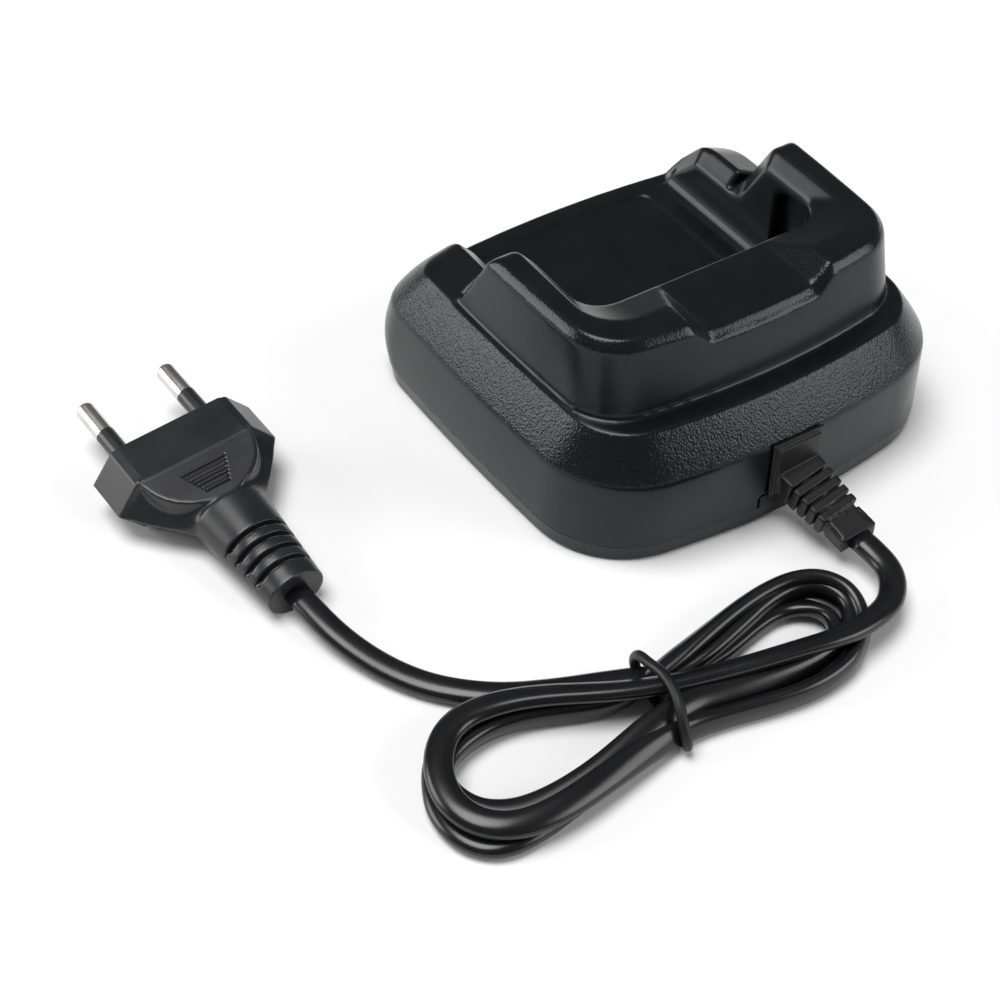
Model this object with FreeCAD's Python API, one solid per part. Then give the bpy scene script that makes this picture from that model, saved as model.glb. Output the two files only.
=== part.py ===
import FreeCAD, Part
import math
import os

# Desktop charger for a two-way radio, in millimetres.
# The origin is on the table under the middle of the body. +Z is up, -Y is the open front of the
# pocket, where the radio's keypad shows, and +Y is the rear, where the mains cord leaves.

os.makedirs("parts", exist_ok=True)
Vec = FreeCAD.Vector
UP = Vec(0, 0, 1)

# Reach of cutting shapes past every face of the body
FAR = 60.0

# Body as seen from outside
BODY_REAR = 43.7
BODY_FRONT = -43.7
BODY_HALF = 46.3
FOOT_LIFT = 0.6
PARTING_Z = 4.0
BAND_LOW_Z = 19.6
LEDGE_Z = 28.1
LOW_WALL_Z = 32.1
RIM_Z = 44.2
BEVEL = 1.7
WALL = 2.2
SIDE_RADIUS = 590.0
SIDE_WIDEST_Y = -16.0
REAR_RADIUS = 171.0
FRONT_RADIUS = 243.0

# Sections of the lower body: height, half width, rear, front, rear corner, front corner
SKIRT_SECTIONS = (
    (PARTING_Z, BODY_HALF, BODY_REAR, BODY_FRONT + 2.0, 20.7, 10.7),
    (8.6, BODY_HALF - 0.1, BODY_REAR, BODY_FRONT, 20.7, 10.7),
    (13.9, BODY_HALF - 0.3, BODY_REAR, BODY_FRONT + 0.6, 20.5, 10.7),
    (BAND_LOW_Z, BODY_HALF - 0.6, BODY_REAR, BODY_FRONT + 3.1, 20.3, 9.6),
)
BAND_SECTIONS = (
    SKIRT_SECTIONS[-1],
    (23.9, BODY_HALF - 3.6, BODY_REAR - 3.0, BODY_FRONT + 6.0, 16.8, 8.6),
    (LEDGE_Z, BODY_HALF - 6.5, BODY_REAR - 5.9, BODY_FRONT + 9.5, 13.3, 7.5),
)
LOW_WALL_TOP = (LOW_WALL_Z, 31.5, 29.4, BODY_FRONT + 12.8, 6.4, 4.3)
TUB_FOOT = (LEDGE_Z, 38.6, 33.1, BODY_FRONT + 9.5, 11.4, 4.3)
TUB_HEAD = (RIM_Z - BEVEL, 37.5, 31.0, BODY_FRONT + 11.6, 12.3, 4.3)
BASE_FOOT = (FOOT_LIFT, BODY_HALF - 0.4, BODY_REAR - 0.5, BODY_FRONT + 2.6, 20.3, 10.7)

# Pocket that the radio stands in
FLOOR_Z = 19.2
LEAD_IN = 3.2
FUNNEL_FRONT = -4.0
POCKET_HALF = 28.2
POCKET_HALF_FLOOR = 27.8
POCKET_REAR = 13.1
POCKET_REAR_FLOOR = 12.4
POCKET_CORNER = 6.4
COVE = 3.2
COVE_FRONT = BODY_FRONT + 8.4
RIM_INNER_REAR = 22.6
RIM_INNER_CORNER = 9.1
STEP_TOP_Y = -7.1
STEP_RUN = 0.59
STEP_ROUND = 3.2
HORN_Y = -28.9
HORN_SLOPE = math.radians(45)
SADDLE_TOP_HALF = 16.7
SADDLE_FLOOR_HALF = 12.4
GROOVE_Y = 2.9
GROOVE_WIDTH = 7.9
GROOVE_DEPTH = 2.4
GROOVE_TOP_Z = 38.3
GROOVE_CORNER = 2.4
PANEL_HALF = 21.7
PANEL_FRONT = BODY_FRONT + 6.9
PANEL_REAR = 5.6
PANEL_DEPTH = 0.5

# Fixings and inside parts
FIT_GAP = 0.06
SCREW_R = 1.45
SCREW_HEAD_R = 2.6
SCREW_HEAD_H = 1.8
BOSS_R = 3.5
BOSS_TOP_Z = 26.3
CASE_SCREW_REAR = (35.8, BODY_REAR - 18.6)
CASE_SCREW_FRONT = (35.3, BODY_FRONT + 16.9)
CASE_SCREWS = [(side * x, y) for x, y in (CASE_SCREW_REAR, CASE_SCREW_FRONT) for side in (1, -1)]
FOOT_REAR = (30.0, BODY_REAR - 13.7)
FOOT_FRONT = (35.3, BODY_FRONT + 25.7)
FEET = [(side * x, y) for x, y in (FOOT_REAR, FOOT_FRONT) for side in (1, -1)]
FOOT_R = 4.0
BASE_THICK = 2.0
BOARD_Z = 6.0
BOARD_THICK = 1.6
BOARD_HALF = 29.0
BOARD_REAR = 35.5
BOARD_FRONT = BODY_FRONT + 10.7
BOARD_SCREW_X = BOARD_HALF - 4.5
BOARD_SCREWS = [
    (side * BOARD_SCREW_X, y) for y in (BOARD_REAR - 4.5, BOARD_FRONT + 5.0) for side in (1, -1)
]
LIGHT_Z = 11.1
LIGHT_R = 1.6
LED_Y = BOARD_FRONT - 1.2

# Rear opening that the strain relief sits in
RELIEF_HALF = 6.0
RELIEF_LOW_Z = 7.0
RELIEF_HIGH_Z = 20.0
SLOT_HALF = 4.5
SLOT_TOP_Z = 17.3
TAB_HALF = 7.3
RELIEF_DEPTH = 4.2
LEAD_R = 0.7
LEAD_X = 2.0
LEAD_Z = 11.6
TAB_FRONT = 32.0

# Charging contacts
CONTACT_X = 7.5
CONTACT_Y = 8.9
CONTACT_TIP_R = 1.3
CONTACT_COLLAR_R = 2.0
CONTACT_TOP_Z = 21.1
CONTACT_TRAVEL = 1.8
CONTACT_END_GAP = 0.3
SPRING_FOOT_Z = 9.0
SPRING_MEAN_R = 1.45
SPRING_WIRE_R = 0.22
SPRING_TURNS = 4
SPRING_SIDES = 10

# Cord, its strain relief and its plug
CORD_R = 2.2
RELIEF_START = Vec(0, BODY_REAR + 1.0, 9.9)
RELIEF_END = Vec(-2.3, 62.1, 5.1)
HANK_TOP_Z = 8.0
TIE_R = 0.8
PLUG_FACE = Vec(96.9, -29.7, 7.97)
PLUG_YAW = 3.6
PLUG_PITCH = 4.0
PLUG_LEAN = 3.0
PLUG_HALF = 17.65
PLUG_HALF_TOP = 12.5
PLUG_HALF_HEIGHT = 6.6
PLUG_FACE_DEPTH = 10.2
PLUG_PAD_END = 21.5
PLUG_PAD_LOW = 5.2
PLUG_NECK_START = 21.0
PLUG_NECK_END = 45.4
NECK_START_R = 6.9
NECK_END_R = 4.9
GRIP_DEPTH = 0.4
PIN_R = 2.0
PIN_CORE_R = 1.5
PIN_LENGTH = 19.0
PIN_SLEEVE = 10.0
PIN_SPACING = 18.4
PIN_ROOT = 6.0


def save(name, *solids):
    """Write one named piece; several like solids share the piece."""
    shape = solids[0] if len(solids) == 1 else Part.Compound(list(solids))
    for solid in shape.Solids:
        if not solid.isValid():
            print("not valid:", name)
    print(f"{name}: {len(shape.Solids)} solid(s), {shape.Volume:.1f} mm3")
    shape.exportStep(f"parts/{name}.step")


def box(x0, x1, y0, y1, z0, z1):
    return Part.makeBox(x1 - x0, y1 - y0, z1 - z0, Vec(x0, y0, z0))


def post(x, y, z0, z1, radius):
    return Part.makeCylinder(radius, z1 - z0, Vec(x, y, z0), UP)


def arc_through(centre, radius, a0, a1, z):
    """Arc of a circle in the plan, from one angle to another."""
    spots = [
        Vec(centre[0] + radius * math.cos(a), centre[1] + radius * math.sin(a), z)
        for a in (a0, (a0 + a1) / 2, a1)
    ]
    return Part.Arc(*spots).toShape()


def circles_meet(c1, r1, c2, r2, side):
    """The point where two circles cross, on the +Y or the -Y side."""
    dx = c2[0] - c1[0]
    dy = c2[1] - c1[1]
    d = math.hypot(dx, dy)
    along = (r1 * r1 - r2 * r2 + d * d) / (2 * d)
    across = math.sqrt(r1 * r1 - along * along)
    base = (c1[0] + along * dx / d, c1[1] + along * dy / d)
    found = [(base[0] + s * across * dy / d, base[1] - s * across * dx / d) for s in (1, -1)]
    right = [p for p in found if p[0] > 0 and p[1] * side > 0]
    return right[0] if right else max(found, key=lambda p: p[0])


def bearing(centre, point):
    return math.atan2(point[1] - centre[1], point[0] - centre[0])


def outline(section, inset=0.0, z=None):
    """Bowed outline of the body at one height: four wide arcs joined by four corner arcs."""
    height, half, rear, front, rear_corner, front_corner = section
    height = height if z is None else z
    side = (half - SIDE_RADIUS, SIDE_WIDEST_Y)
    back = (0.0, rear - REAR_RADIUS)
    fore = (0.0, front + FRONT_RADIUS)
    side_r = SIDE_RADIUS - inset
    back_r = REAR_RADIUS - inset
    fore_r = FRONT_RADIUS - inset
    r1 = max(rear_corner - inset, 1.5)
    r2 = max(front_corner - inset, 1.5)
    c1 = circles_meet(side, side_r - r1, back, back_r - r1, 1)
    c2 = circles_meet(side, side_r - r2, fore, fore_r - r2, -1)
    side_rear = bearing(side, c1)
    side_front = bearing(side, c2)
    back_angle = bearing(back, c1)
    fore_angle = bearing(fore, c2)
    right_side = arc_through(side, side_r, side_front, side_rear, height)
    right_rear = arc_through(c1, r1, side_rear, back_angle, height)
    rear_arc = arc_through(back, back_r, back_angle, math.pi - back_angle, height)
    right_front = arc_through(c2, r2, fore_angle, side_front, height)
    front_arc = arc_through(fore, fore_r, -math.pi - fore_angle, fore_angle, height)
    left_rear = right_rear.mirror(Vec(), Vec(1, 0, 0))
    left_side = right_side.mirror(Vec(), Vec(1, 0, 0))
    left_front = right_front.mirror(Vec(), Vec(1, 0, 0))
    rear_half = [right_side, right_rear, rear_arc, left_rear]
    front_half = [left_side, left_front, front_arc, right_front]
    return Part.Wire(Part.__sortEdges__(rear_half + front_half))


def between(sections, inset=0.0, ruled=True):
    """Solid through several outlines, one above another."""
    return Part.makeLoft([outline(s, inset) for s in sections], True, ruled)


def upright(section, z0, z1, inset=0.0):
    """Straight-sided solid on one outline."""
    return Part.Face(outline(section, inset, z0)).extrude(Vec(0, 0, z1 - z0))


def rounded(points, radii, closed=True):
    """Straight runs joined by tangent arcs. A radius of 0 leaves a corner sharp."""
    count = len(points)
    joints = []
    for i, point in enumerate(points):
        radius = radii[i]
        if radius == 0 or (not closed and i in (0, count - 1)):
            joints.append((point, point, None))
            continue
        back = (points[i - 1] - point).normalize()
        ahead = (points[(i + 1) % count] - point).normalize()
        half_turn = (math.pi - back.getAngle(ahead)) / 2
        reach = radius * math.tan(half_turn)
        middle = (back + ahead).normalize()
        centre = point + middle * (radius / math.cos(half_turn))
        joints.append((point + back * reach, point + ahead * reach, centre - middle * radius))
    edges = []
    for i, (start, end, middle) in enumerate(joints):
        if middle is not None:
            edges.append(Part.Arc(start, middle, end).toShape())
        if i + 1 < count or closed:
            onward = joints[(i + 1) % count][0]
            if (onward - end).Length > 1e-4:
                edges.append(Part.LineSegment(end, onward).toShape())
    return Part.Wire(edges)


def bend_radii(points):
    """Radius at each inner point: 0.45 of its shorter run over the tangent of half its turn."""
    radii = [0.0]
    for before, point, after in zip(points, points[1:], points[2:]):
        turn = (point - before).getAngle(after - point)
        shorter = min((point - before).Length, (after - point).Length)
        radii.append(0.45 * shorter / math.tan(turn / 2))
    radii.append(0.0)
    return radii


def profile(points, x):
    """Points of a side view, as height over depth, in the plane at x."""
    return [Vec(x, y, z) for y, z in points]


# Top cover


def step_line(z):
    """Depth of the sloping step at the front of the tall end walls."""
    return STEP_TOP_Y - (RIM_Z - z) * STEP_RUN


def front_of_step():
    """Everything in front of the step, with the step's top edge rounded."""
    reach = STEP_ROUND * math.tan(math.atan2(1.0, STEP_RUN) / 2) + 0.02
    low = FLOOR_Z
    points = [
        (-FAR, low),
        (step_line(low), low),
        (step_line(RIM_Z), RIM_Z),
        (step_line(RIM_Z) + reach, RIM_Z),
        (step_line(RIM_Z) + reach, FAR),
        (-FAR, FAR),
    ]
    wire = rounded(profile(points, -FAR), [0, 0, STEP_ROUND, 0, 0, 0])
    return Part.Face(wire).extrude(Vec(2 * FAR, 0, 0))


def front_of_inner_step(shift):
    """The same plane moved back by the wall, for the hollow under it."""
    points = [
        (-FAR, FLOOR_Z),
        (step_line(FLOOR_Z) + shift, FLOOR_Z),
        (step_line(FAR) + shift, FAR),
        (-FAR, FAR),
    ]
    return Part.Face(rounded(profile(points, -FAR), [0] * 4)).extrude(Vec(2 * FAR, 0, 0))


def pocket_plan(half, rear, corner, z, front=-FAR):
    points = [Vec(half, front, z), Vec(half, rear, z), Vec(-half, rear, z), Vec(-half, front, z)]
    return rounded(points, [0, corner, corner, 0])


def lead_in_profile(depth, x):
    """Edge of an end wall, seen from the side, moved into the wall by depth."""
    run = math.hypot(STEP_RUN, 1.0)
    rise_y = depth * 1.0 / run
    rise_z = depth * STEP_RUN / run
    level = LOW_WALL_Z - depth
    top = RIM_Z - depth
    foot_y = STEP_TOP_Y - (RIM_Z - LOW_WALL_Z) * STEP_RUN + rise_y
    foot_z = LOW_WALL_Z - rise_z
    top_y = foot_y + (top - foot_z) * STEP_RUN
    notch_y = foot_y + (level - foot_z) * STEP_RUN
    horn_y = HORN_Y + depth * math.sin(HORN_SLOPE)
    horn_z = LOW_WALL_Z - depth * math.cos(HORN_SLOPE)
    peak_y = horn_y - (horn_z - level) / math.tan(HORN_SLOPE)
    end_z = 12.0
    end_y = peak_y - (level - end_z) / math.tan(HORN_SLOPE)
    points = [
        (8.0, FAR),
        (8.0, top),
        (top_y, top),
        (notch_y, level),
        (peak_y, level),
        (end_y, end_z),
        (-FAR, end_z),
        (-FAR, FAR),
    ]
    sharp = 3.0 - depth / 2
    hollow = 4.0 + depth / 2
    return rounded(profile(points, x), [0, 0, sharp, hollow, sharp, 0, 0, 0])


def pocket():
    """Space that the radio stands in, with its sloping lead-in."""
    low = pocket_plan(POCKET_HALF_FLOOR, POCKET_REAR_FLOOR, POCKET_CORNER, FLOOR_Z)
    mouth = pocket_plan(POCKET_HALF, POCKET_REAR, POCKET_CORNER, RIM_Z - LEAD_IN)
    well = Part.makeLoft([low, mouth], True, True)
    foot = pocket_plan(POCKET_HALF, POCKET_REAR, POCKET_CORNER, RIM_Z - LEAD_IN, FUNNEL_FRONT)
    head = pocket_plan(
        POCKET_HALF + LEAD_IN, RIM_INNER_REAR, RIM_INNER_CORNER, RIM_Z, FUNNEL_FRONT
    )
    funnel = Part.makeLoft([foot, head], True, True)
    over = Part.Face(head).extrude(Vec(0, 0, 6.0))
    column = Part.Face(mouth).extrude(Vec(0, 0, 9.0))
    space = well.fuse([funnel, over, column])
    for sign in (1, -1):
        inner = lead_in_profile(LEAD_IN, sign * POCKET_HALF)
        outer = lead_in_profile(0.0, sign * (POCKET_HALF + LEAD_IN))
        side = Part.makeLoft([inner, outer], True, True)
        inward = Part.Face(inner).extrude(Vec(-sign * 5.0, 0, 0))
        side = side.fuse(inward)
        side = side.common(box(-FAR, FAR, -FAR, 2.0, FLOOR_Z, FAR - 1.0))
        space = space.fuse(side)
    return space


def saddle():
    """Lowered middle of the rear rim, with its sloping ends."""
    z0 = RIM_Z - LEAD_IN
    points = [
        Vec(-SADDLE_FLOOR_HALF, 5.0, z0),
        Vec(SADDLE_FLOOR_HALF, 5.0, z0),
        Vec(SADDLE_TOP_HALF, 5.0, RIM_Z),
        Vec(SADDLE_TOP_HALF, 5.0, RIM_Z + 5),
        Vec(-SADDLE_TOP_HALF, 5.0, RIM_Z + 5),
        Vec(-SADDLE_TOP_HALF, 5.0, RIM_Z),
    ]
    return Part.Face(rounded(points, [1.6, 1.6, 0, 0, 0, 0])).extrude(Vec(0, 40, 0))


def saddle_bevel():
    """Bevel along the saddle's rear edge, level on its floor and climbing with each ramp."""
    ring = upright(TUB_HEAD, RIM_Z - BEVEL, RIM_Z + 0.2, -1.0)
    keep = Part.makeLoft([outline(TUB_HEAD), outline(TUB_HEAD, BEVEL, RIM_Z)], True, True)
    keep = keep.fuse(upright(TUB_HEAD, RIM_Z, RIM_Z + 0.2, BEVEL))
    wedge = ring.cut(keep).common(box(-FAR, FAR, POCKET_REAR, FAR, LOW_WALL_Z, FAR))
    wedge.translate(Vec(0, 0, -LEAD_IN))
    level = wedge.common(box(-SADDLE_FLOOR_HALF, SADDLE_FLOOR_HALF, 0, FAR, 0, FAR))
    pieces = [level]
    rise = LEAD_IN / (SADDLE_TOP_HALF - SADDLE_FLOOR_HALF)
    for sign in (1, -1):
        ends = sorted((sign * SADDLE_FLOOR_HALF, sign * SADDLE_TOP_HALF))
        part = wedge.common(box(ends[0], ends[1], 0, FAR, 0, FAR))
        shear = FreeCAD.Matrix()
        shear.A31 = rise * sign
        shear.A34 = -rise * SADDLE_FLOOR_HALF
        pieces.append(part.transformGeometry(shear))
    return pieces


def guide_groove(sign, grow=0.0):
    """Round-topped groove in the inner face of one end wall, for the radio's guide rib."""
    half = GROOVE_WIDTH / 2 + grow
    top = GROOVE_TOP_Z + grow
    x0 = POCKET_HALF_FLOOR - 1.5
    depth = GROOVE_DEPTH + 1.9 + grow
    points = [
        Vec(x0 * sign, GROOVE_Y - half, FLOOR_Z + 4.0 - grow),
        Vec(x0 * sign, GROOVE_Y + half, FLOOR_Z + 4.0 - grow),
        Vec(x0 * sign, GROOVE_Y + half, top),
        Vec(x0 * sign, GROOVE_Y - half, top),
    ]
    wire = rounded(points, [1.5, 1.5, GROOVE_CORNER + grow, GROOVE_CORNER + grow])
    return Part.Face(wire).extrude(Vec(depth * sign, 0, 0))


def floor_panel():
    """Shallow recess in the pocket floor."""
    bow = PANEL_HALF * PANEL_HALF / (2 * FRONT_RADIUS)
    z = FLOOR_Z - PANEL_DEPTH
    points = [
        Vec(PANEL_HALF, PANEL_FRONT + bow, z),
        Vec(PANEL_HALF, PANEL_REAR, z),
        Vec(-PANEL_HALF, PANEL_REAR, z),
        Vec(-PANEL_HALF, PANEL_FRONT + bow, z),
        Vec(0, PANEL_FRONT, z),
    ]
    wire = rounded(points, [3.0, 3.0, 3.0, 3.0, 60.0])
    return Part.Face(wire).extrude(Vec(0, 0, 3.0))


def cove_fillets():
    """Rounded foot of the end walls inside the pocket."""
    pieces = []
    top = FLOOR_Z + COVE
    lean = (POCKET_HALF - POCKET_HALF_FLOOR) * COVE / (RIM_Z - LEAD_IN - FLOOR_Z)
    for sign in (1, -1):
        behind = (POCKET_HALF + WALL / 2) * sign
        middle = (POCKET_HALF_FLOOR + 1.5 * lean - COVE) * sign
        left = min(behind, middle)
        right = max(behind, middle)
        corner = box(left, right, COVE_FRONT, POCKET_REAR, FLOOR_Z, top)
        core = Part.makeCylinder(COVE, 2 * FAR, Vec(middle, -FAR, top), Vec(0, 1, 0))
        pieces.append(corner.cut(core))
    return pieces


def rear_slot():
    """Opening in the rear of the skirt that holds the strain relief."""
    return box(-SLOT_HALF, SLOT_HALF, BODY_REAR - 7.0, BODY_REAR + 4.0, 0.0, SLOT_TOP_Z)


def tab_block():
    """Where the base rises under the strain relief."""
    high = RELIEF_LOW_Z - 0.1
    return box(-TAB_HALF, TAB_HALF, TAB_FRONT, BODY_REAR + 4.0, PARTING_Z - 1.0, high)


def body_outside():
    """Skirt, textured band, low walls and tub as one block."""
    skirt = between(SKIRT_SECTIONS, 0.0, False)
    band = between(BAND_SECTIONS, 0.0, False)
    low = between((BAND_SECTIONS[-1], LOW_WALL_TOP))
    low = low.common(box(-FAR, FAR, -FAR, step_line(LEDGE_Z), FLOOR_Z, FAR))
    tub = between((TUB_FOOT, TUB_HEAD))
    bevel = Part.makeLoft([outline(TUB_HEAD), outline(TUB_HEAD, BEVEL, RIM_Z)], True, True)
    tall = tub.fuse(bevel).cut(front_of_step())
    return skirt.fuse([band, low, tall])


def body_inside():
    """Hollow under the cover's walls."""
    skirt = between(SKIRT_SECTIONS, WALL, False)
    rim_rebate = upright(SKIRT_SECTIONS[0], PARTING_Z - 1.0, PARTING_Z + 2.0, 1.0 - FIT_GAP)
    mid = BAND_SECTIONS[1]
    top = BAND_SECTIONS[2]
    upper = (top[0] - WALL, top[1] + 1.5, top[2] + 1.5, top[3] - 1.8, top[4] + 1.0, top[5] + 1.0)
    band = between((BAND_SECTIONS[0], mid, upper), WALL + 0.2, False)
    tub_low = (upper[0] - 0.5,) + TUB_FOOT[1:]
    tub_high = (RIM_Z - LEAD_IN - WALL,) + TUB_HEAD[1:]
    tub = between((tub_low, tub_high), WALL)
    tub = tub.cut(front_of_inner_step(WALL + 0.6))
    hollow = skirt.fuse([rim_rebate, band, tub])
    pocket_block = box(
        -POCKET_HALF - WALL, POCKET_HALF + WALL, -FAR, POCKET_REAR + WALL, FLOOR_Z - WALL, FAR
    )
    hollow = hollow.cut(pocket_block)
    for sign in (1, -1):
        hollow = hollow.cut(guide_groove(sign, 1.6))
    low_wall_block = box(-FAR, FAR, -FAR, step_line(LEDGE_Z) + 3.0, LEDGE_Z - WALL, FAR)
    return hollow.cut(low_wall_block)


def contact_holes():
    return [post(sign * CONTACT_X, CONTACT_Y, 8.0, 25.0, CONTACT_TIP_R + 0.25) for sign in (1, -1)]


def light_hole(radius):
    return Part.makeCylinder(radius, 12.0, Vec(0, BODY_FRONT - 5.0, LIGHT_Z), Vec(0, 1, 0))


def top_cover():
    cover = body_outside().cut([pocket(), saddle(), floor_panel()] + saddle_bevel())
    cover = cover.cut([guide_groove(1), guide_groove(-1)])
    cover = cover.fuse(cove_fillets())
    cover = cover.cut(body_inside())
    bosses = [post(x, y, PARTING_Z + 0.5, BOSS_TOP_Z, BOSS_R) for x, y in CASE_SCREWS]
    cover = cover.fuse(bosses)
    pilots = [post(x, y, 0.0, 16.0, SCREW_R) for x, y in CASE_SCREWS]
    cover = cover.cut(pilots + contact_holes())
    cover = cover.cut([rear_slot(), tab_block(), light_hole(LIGHT_R + 0.05)])
    return cover.removeSplitter()


# Base


def bottom_cover():
    first = SKIRT_SECTIONS[0]
    shell = between((BASE_FOOT, first))
    half = TAB_HALF - FIT_GAP
    tab = box(-half, half, TAB_FRONT, BODY_REAR + 4.0, 0.0, RELIEF_LOW_Z - 0.2)
    raised = upright(first, PARTING_Z, RELIEF_LOW_Z).common(tab)
    tongue = upright(first, PARTING_Z - 1.0, PARTING_Z + 1.8, 1.0)
    shell = shell.fuse([raised, tongue])
    shell = shell.cut(upright(first, FOOT_LIFT + BASE_THICK, 20.0, 2.0))
    seats = [post(x, y, FOOT_LIFT + 1.0, PARTING_Z + 0.5, BOSS_R + 0.3) for x, y in CASE_SCREWS]
    pillars = [post(x, y, FOOT_LIFT + 1.0, BOARD_Z, BOSS_R) for x, y in BOARD_SCREWS]
    shell = shell.fuse(seats + pillars)
    holes = [post(x, y, 0.0, 10.0, SCREW_R + 0.15) for x, y in CASE_SCREWS]
    well_top = FOOT_LIFT + SCREW_HEAD_H + 0.2
    wells = [post(x, y, 0.0, well_top, SCREW_HEAD_R + 0.2) for x, y in CASE_SCREWS]
    pilots = [post(x, y, FOOT_LIFT + 0.9, 10.0, SCREW_R) for x, y in BOARD_SCREWS]
    pads = [post(x, y, 0.0, FOOT_LIFT * 2, FOOT_R) for x, y in FEET]
    return shell.cut(holes + wells + pilots + pads).removeSplitter()


def screw_up(x, y, head_z, length):
    """Screw that enters from below."""
    head = post(x, y, head_z, head_z + SCREW_HEAD_H, SCREW_HEAD_R)
    shank = post(x, y, head_z + 1.0, head_z + SCREW_HEAD_H + length, SCREW_R)
    cross = box(x - 1.6, x + 1.6, y - 0.3, y + 0.3, head_z - 1, head_z + 0.9)
    other = box(x - 0.3, x + 0.3, y - 1.6, y + 1.6, head_z - 1, head_z + 0.9)
    return head.fuse(shank).cut([cross, other]).removeSplitter()


def screw_down(x, y, seat_z, length):
    """Screw that enters from above."""
    head = post(x, y, seat_z, seat_z + SCREW_HEAD_H - 0.3, SCREW_HEAD_R)
    shank = post(x, y, seat_z - length, seat_z + 0.5, SCREW_R)
    top = seat_z + SCREW_HEAD_H - 0.3
    cross = box(x - 1.6, x + 1.6, y - 0.3, y + 0.3, top - 0.8, top + 1)
    other = box(x - 0.3, x + 0.3, y - 1.6, y + 1.6, top - 0.8, top + 1)
    return head.fuse(shank).cut([cross, other]).removeSplitter()


# Circuit board and what stands on it

BOARD_TOP = BOARD_Z + BOARD_THICK


def circuit_board():
    points = [
        Vec(BOARD_HALF, BOARD_FRONT, BOARD_Z),
        Vec(BOARD_HALF, BOARD_REAR, BOARD_Z),
        Vec(-BOARD_HALF, BOARD_REAR, BOARD_Z),
        Vec(-BOARD_HALF, BOARD_FRONT, BOARD_Z),
    ]
    board = Part.Face(rounded(points, [2.0] * 4)).extrude(Vec(0, 0, BOARD_THICK))
    holes = [post(x, y, 0.0, 20.0, SCREW_R) for x, y in BOARD_SCREWS]
    isolation = box(-20.0, 2.0, 14.0, 15.2, 0.0, 20.0)
    return board.cut(holes + [isolation])


TRANSFORMER = Vec(-8.0, POCKET_REAR + 10.1, BOARD_TOP)
CORE_X = 16.0
CORE_Y = 5.0
CORE_Z = 14.0
CORE_BAR = 2.2
CORE_LIFT = 1.2
LEG = 3.6


def transformer_core():
    """Two E halves: three legs between a top and a bottom bar."""
    x, y, z = TRANSFORMER
    z = z + CORE_LIFT
    block = box(x - CORE_X / 2, x + CORE_X / 2, y - CORE_Y / 2, y + CORE_Y / 2, z, z + CORE_Z)
    gap = (CORE_X - 2 * CORE_BAR - LEG) / 2
    windows = []
    for sign in (1, -1):
        inner = x + sign * LEG / 2
        outer = x + sign * (LEG / 2 + gap)
        low = min(inner, outer)
        high = max(inner, outer)
        windows.append(box(low, high, y - CORE_Y, y + CORE_Y, z + CORE_BAR, z + CORE_Z - CORE_BAR))
    return block.cut(windows)


def transformer_bobbin():
    """Tube round the middle leg with a flange at each end and pins under the lower one."""
    x, y, z = TRANSFORMER
    z = z + CORE_LIFT
    z0 = z + 2.3
    z1 = z + CORE_Z - 2.3
    wide = 5.2
    tube = box(x - 2.6, x + 2.6, y - 3.4, y + 3.4, z0, z1)
    low = box(x - wide, x + wide, y - 7.0, y + 7.0, z0, z0 + 0.9)
    high = box(x - wide, x + wide, y - 7.0, y + 7.0, z1 - 0.9, z1)
    rails = [box(x - wide, x + wide, s - 1.3, s + 1.3, BOARD_TOP, z0 + 0.5) for s in (y - 5.7, y + 5.7)]
    body = tube.fuse([low, high] + rails)
    leg = box(x - LEG / 2 - 0.05, x + LEG / 2 + 0.05, y - 2.55, y + 2.55, z, z + CORE_Z)
    return body.cut(leg).removeSplitter()


def transformer_winding():
    """Copper and tape wound on the bobbin."""
    x, y, z = TRANSFORMER
    z = z + CORE_LIFT
    outer = box(x - 4.9, x + 4.9, y - 6.2, y + 6.2, z + 3.3, z + CORE_Z - 3.3)
    upright_edges = [e for e in outer.Edges if abs(e.tangentAt(e.FirstParameter).z) > 0.9]
    outer = outer.makeFillet(2.0, upright_edges)
    inner = box(x - 2.65, x + 2.65, y - 3.45, y + 3.45, z, z + CORE_Z)
    return outer.cut(inner)


# Place across, place along, radius, height
INPUT_CAPACITOR = (7.0, 22.0, 4.0, 13.0)
OUTPUT_CAPACITOR = (-21.5, 22.0, 3.2, 11.0)


def round_capacitor(x, y, radius, height):
    """Electrolytic can with a crimped foot."""
    z = BOARD_TOP
    can = post(x, y, z, z + height, radius)
    ring = Part.makeTorus(radius, 0.35, Vec(x, y, z + 1.8), UP)
    return can.cut(ring)


def axial_part(x, y, radius, length, z=BOARD_TOP + 1.6):
    """Body lying above the board on two bent leads."""
    body = Part.makeCylinder(radius, length, Vec(x, y - length / 2, z), Vec(0, 1, 0))
    lead = 0.35
    wires = []
    for sign in (1, -1):
        y1 = y + sign * (length / 2 + 1.6)
        points = [Vec(x, y + sign * (length / 2 - 0.5), z), Vec(x, y1, z), Vec(x, y1, BOARD_TOP)]
        path = rounded(points, [0, 0.8, 0], False)
        start = Part.Wire(Part.makeCircle(lead, points[0], Vec(0, sign, 0)))
        wires.append(path.makePipeShell([start], True, False))
    return body.fuse(wires).removeSplitter()


def chip(x, y, length, width, height, legs):
    """Moulded chip on gull-wing legs."""
    z = BOARD_TOP
    body = box(x - length / 2, x + length / 2, y - width / 2, y + width / 2, z + 0.15, z + height)
    pitch = 1.27
    feet = []
    for i in range(legs):
        cx = x + (i - (legs - 1) / 2) * pitch
        feet.append(box(cx - 0.2, cx + 0.2, y - width / 2 - 1.0, y + width / 2 + 1.0, z, z + 0.5))
    return body.fuse(feet).removeSplitter()


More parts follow.
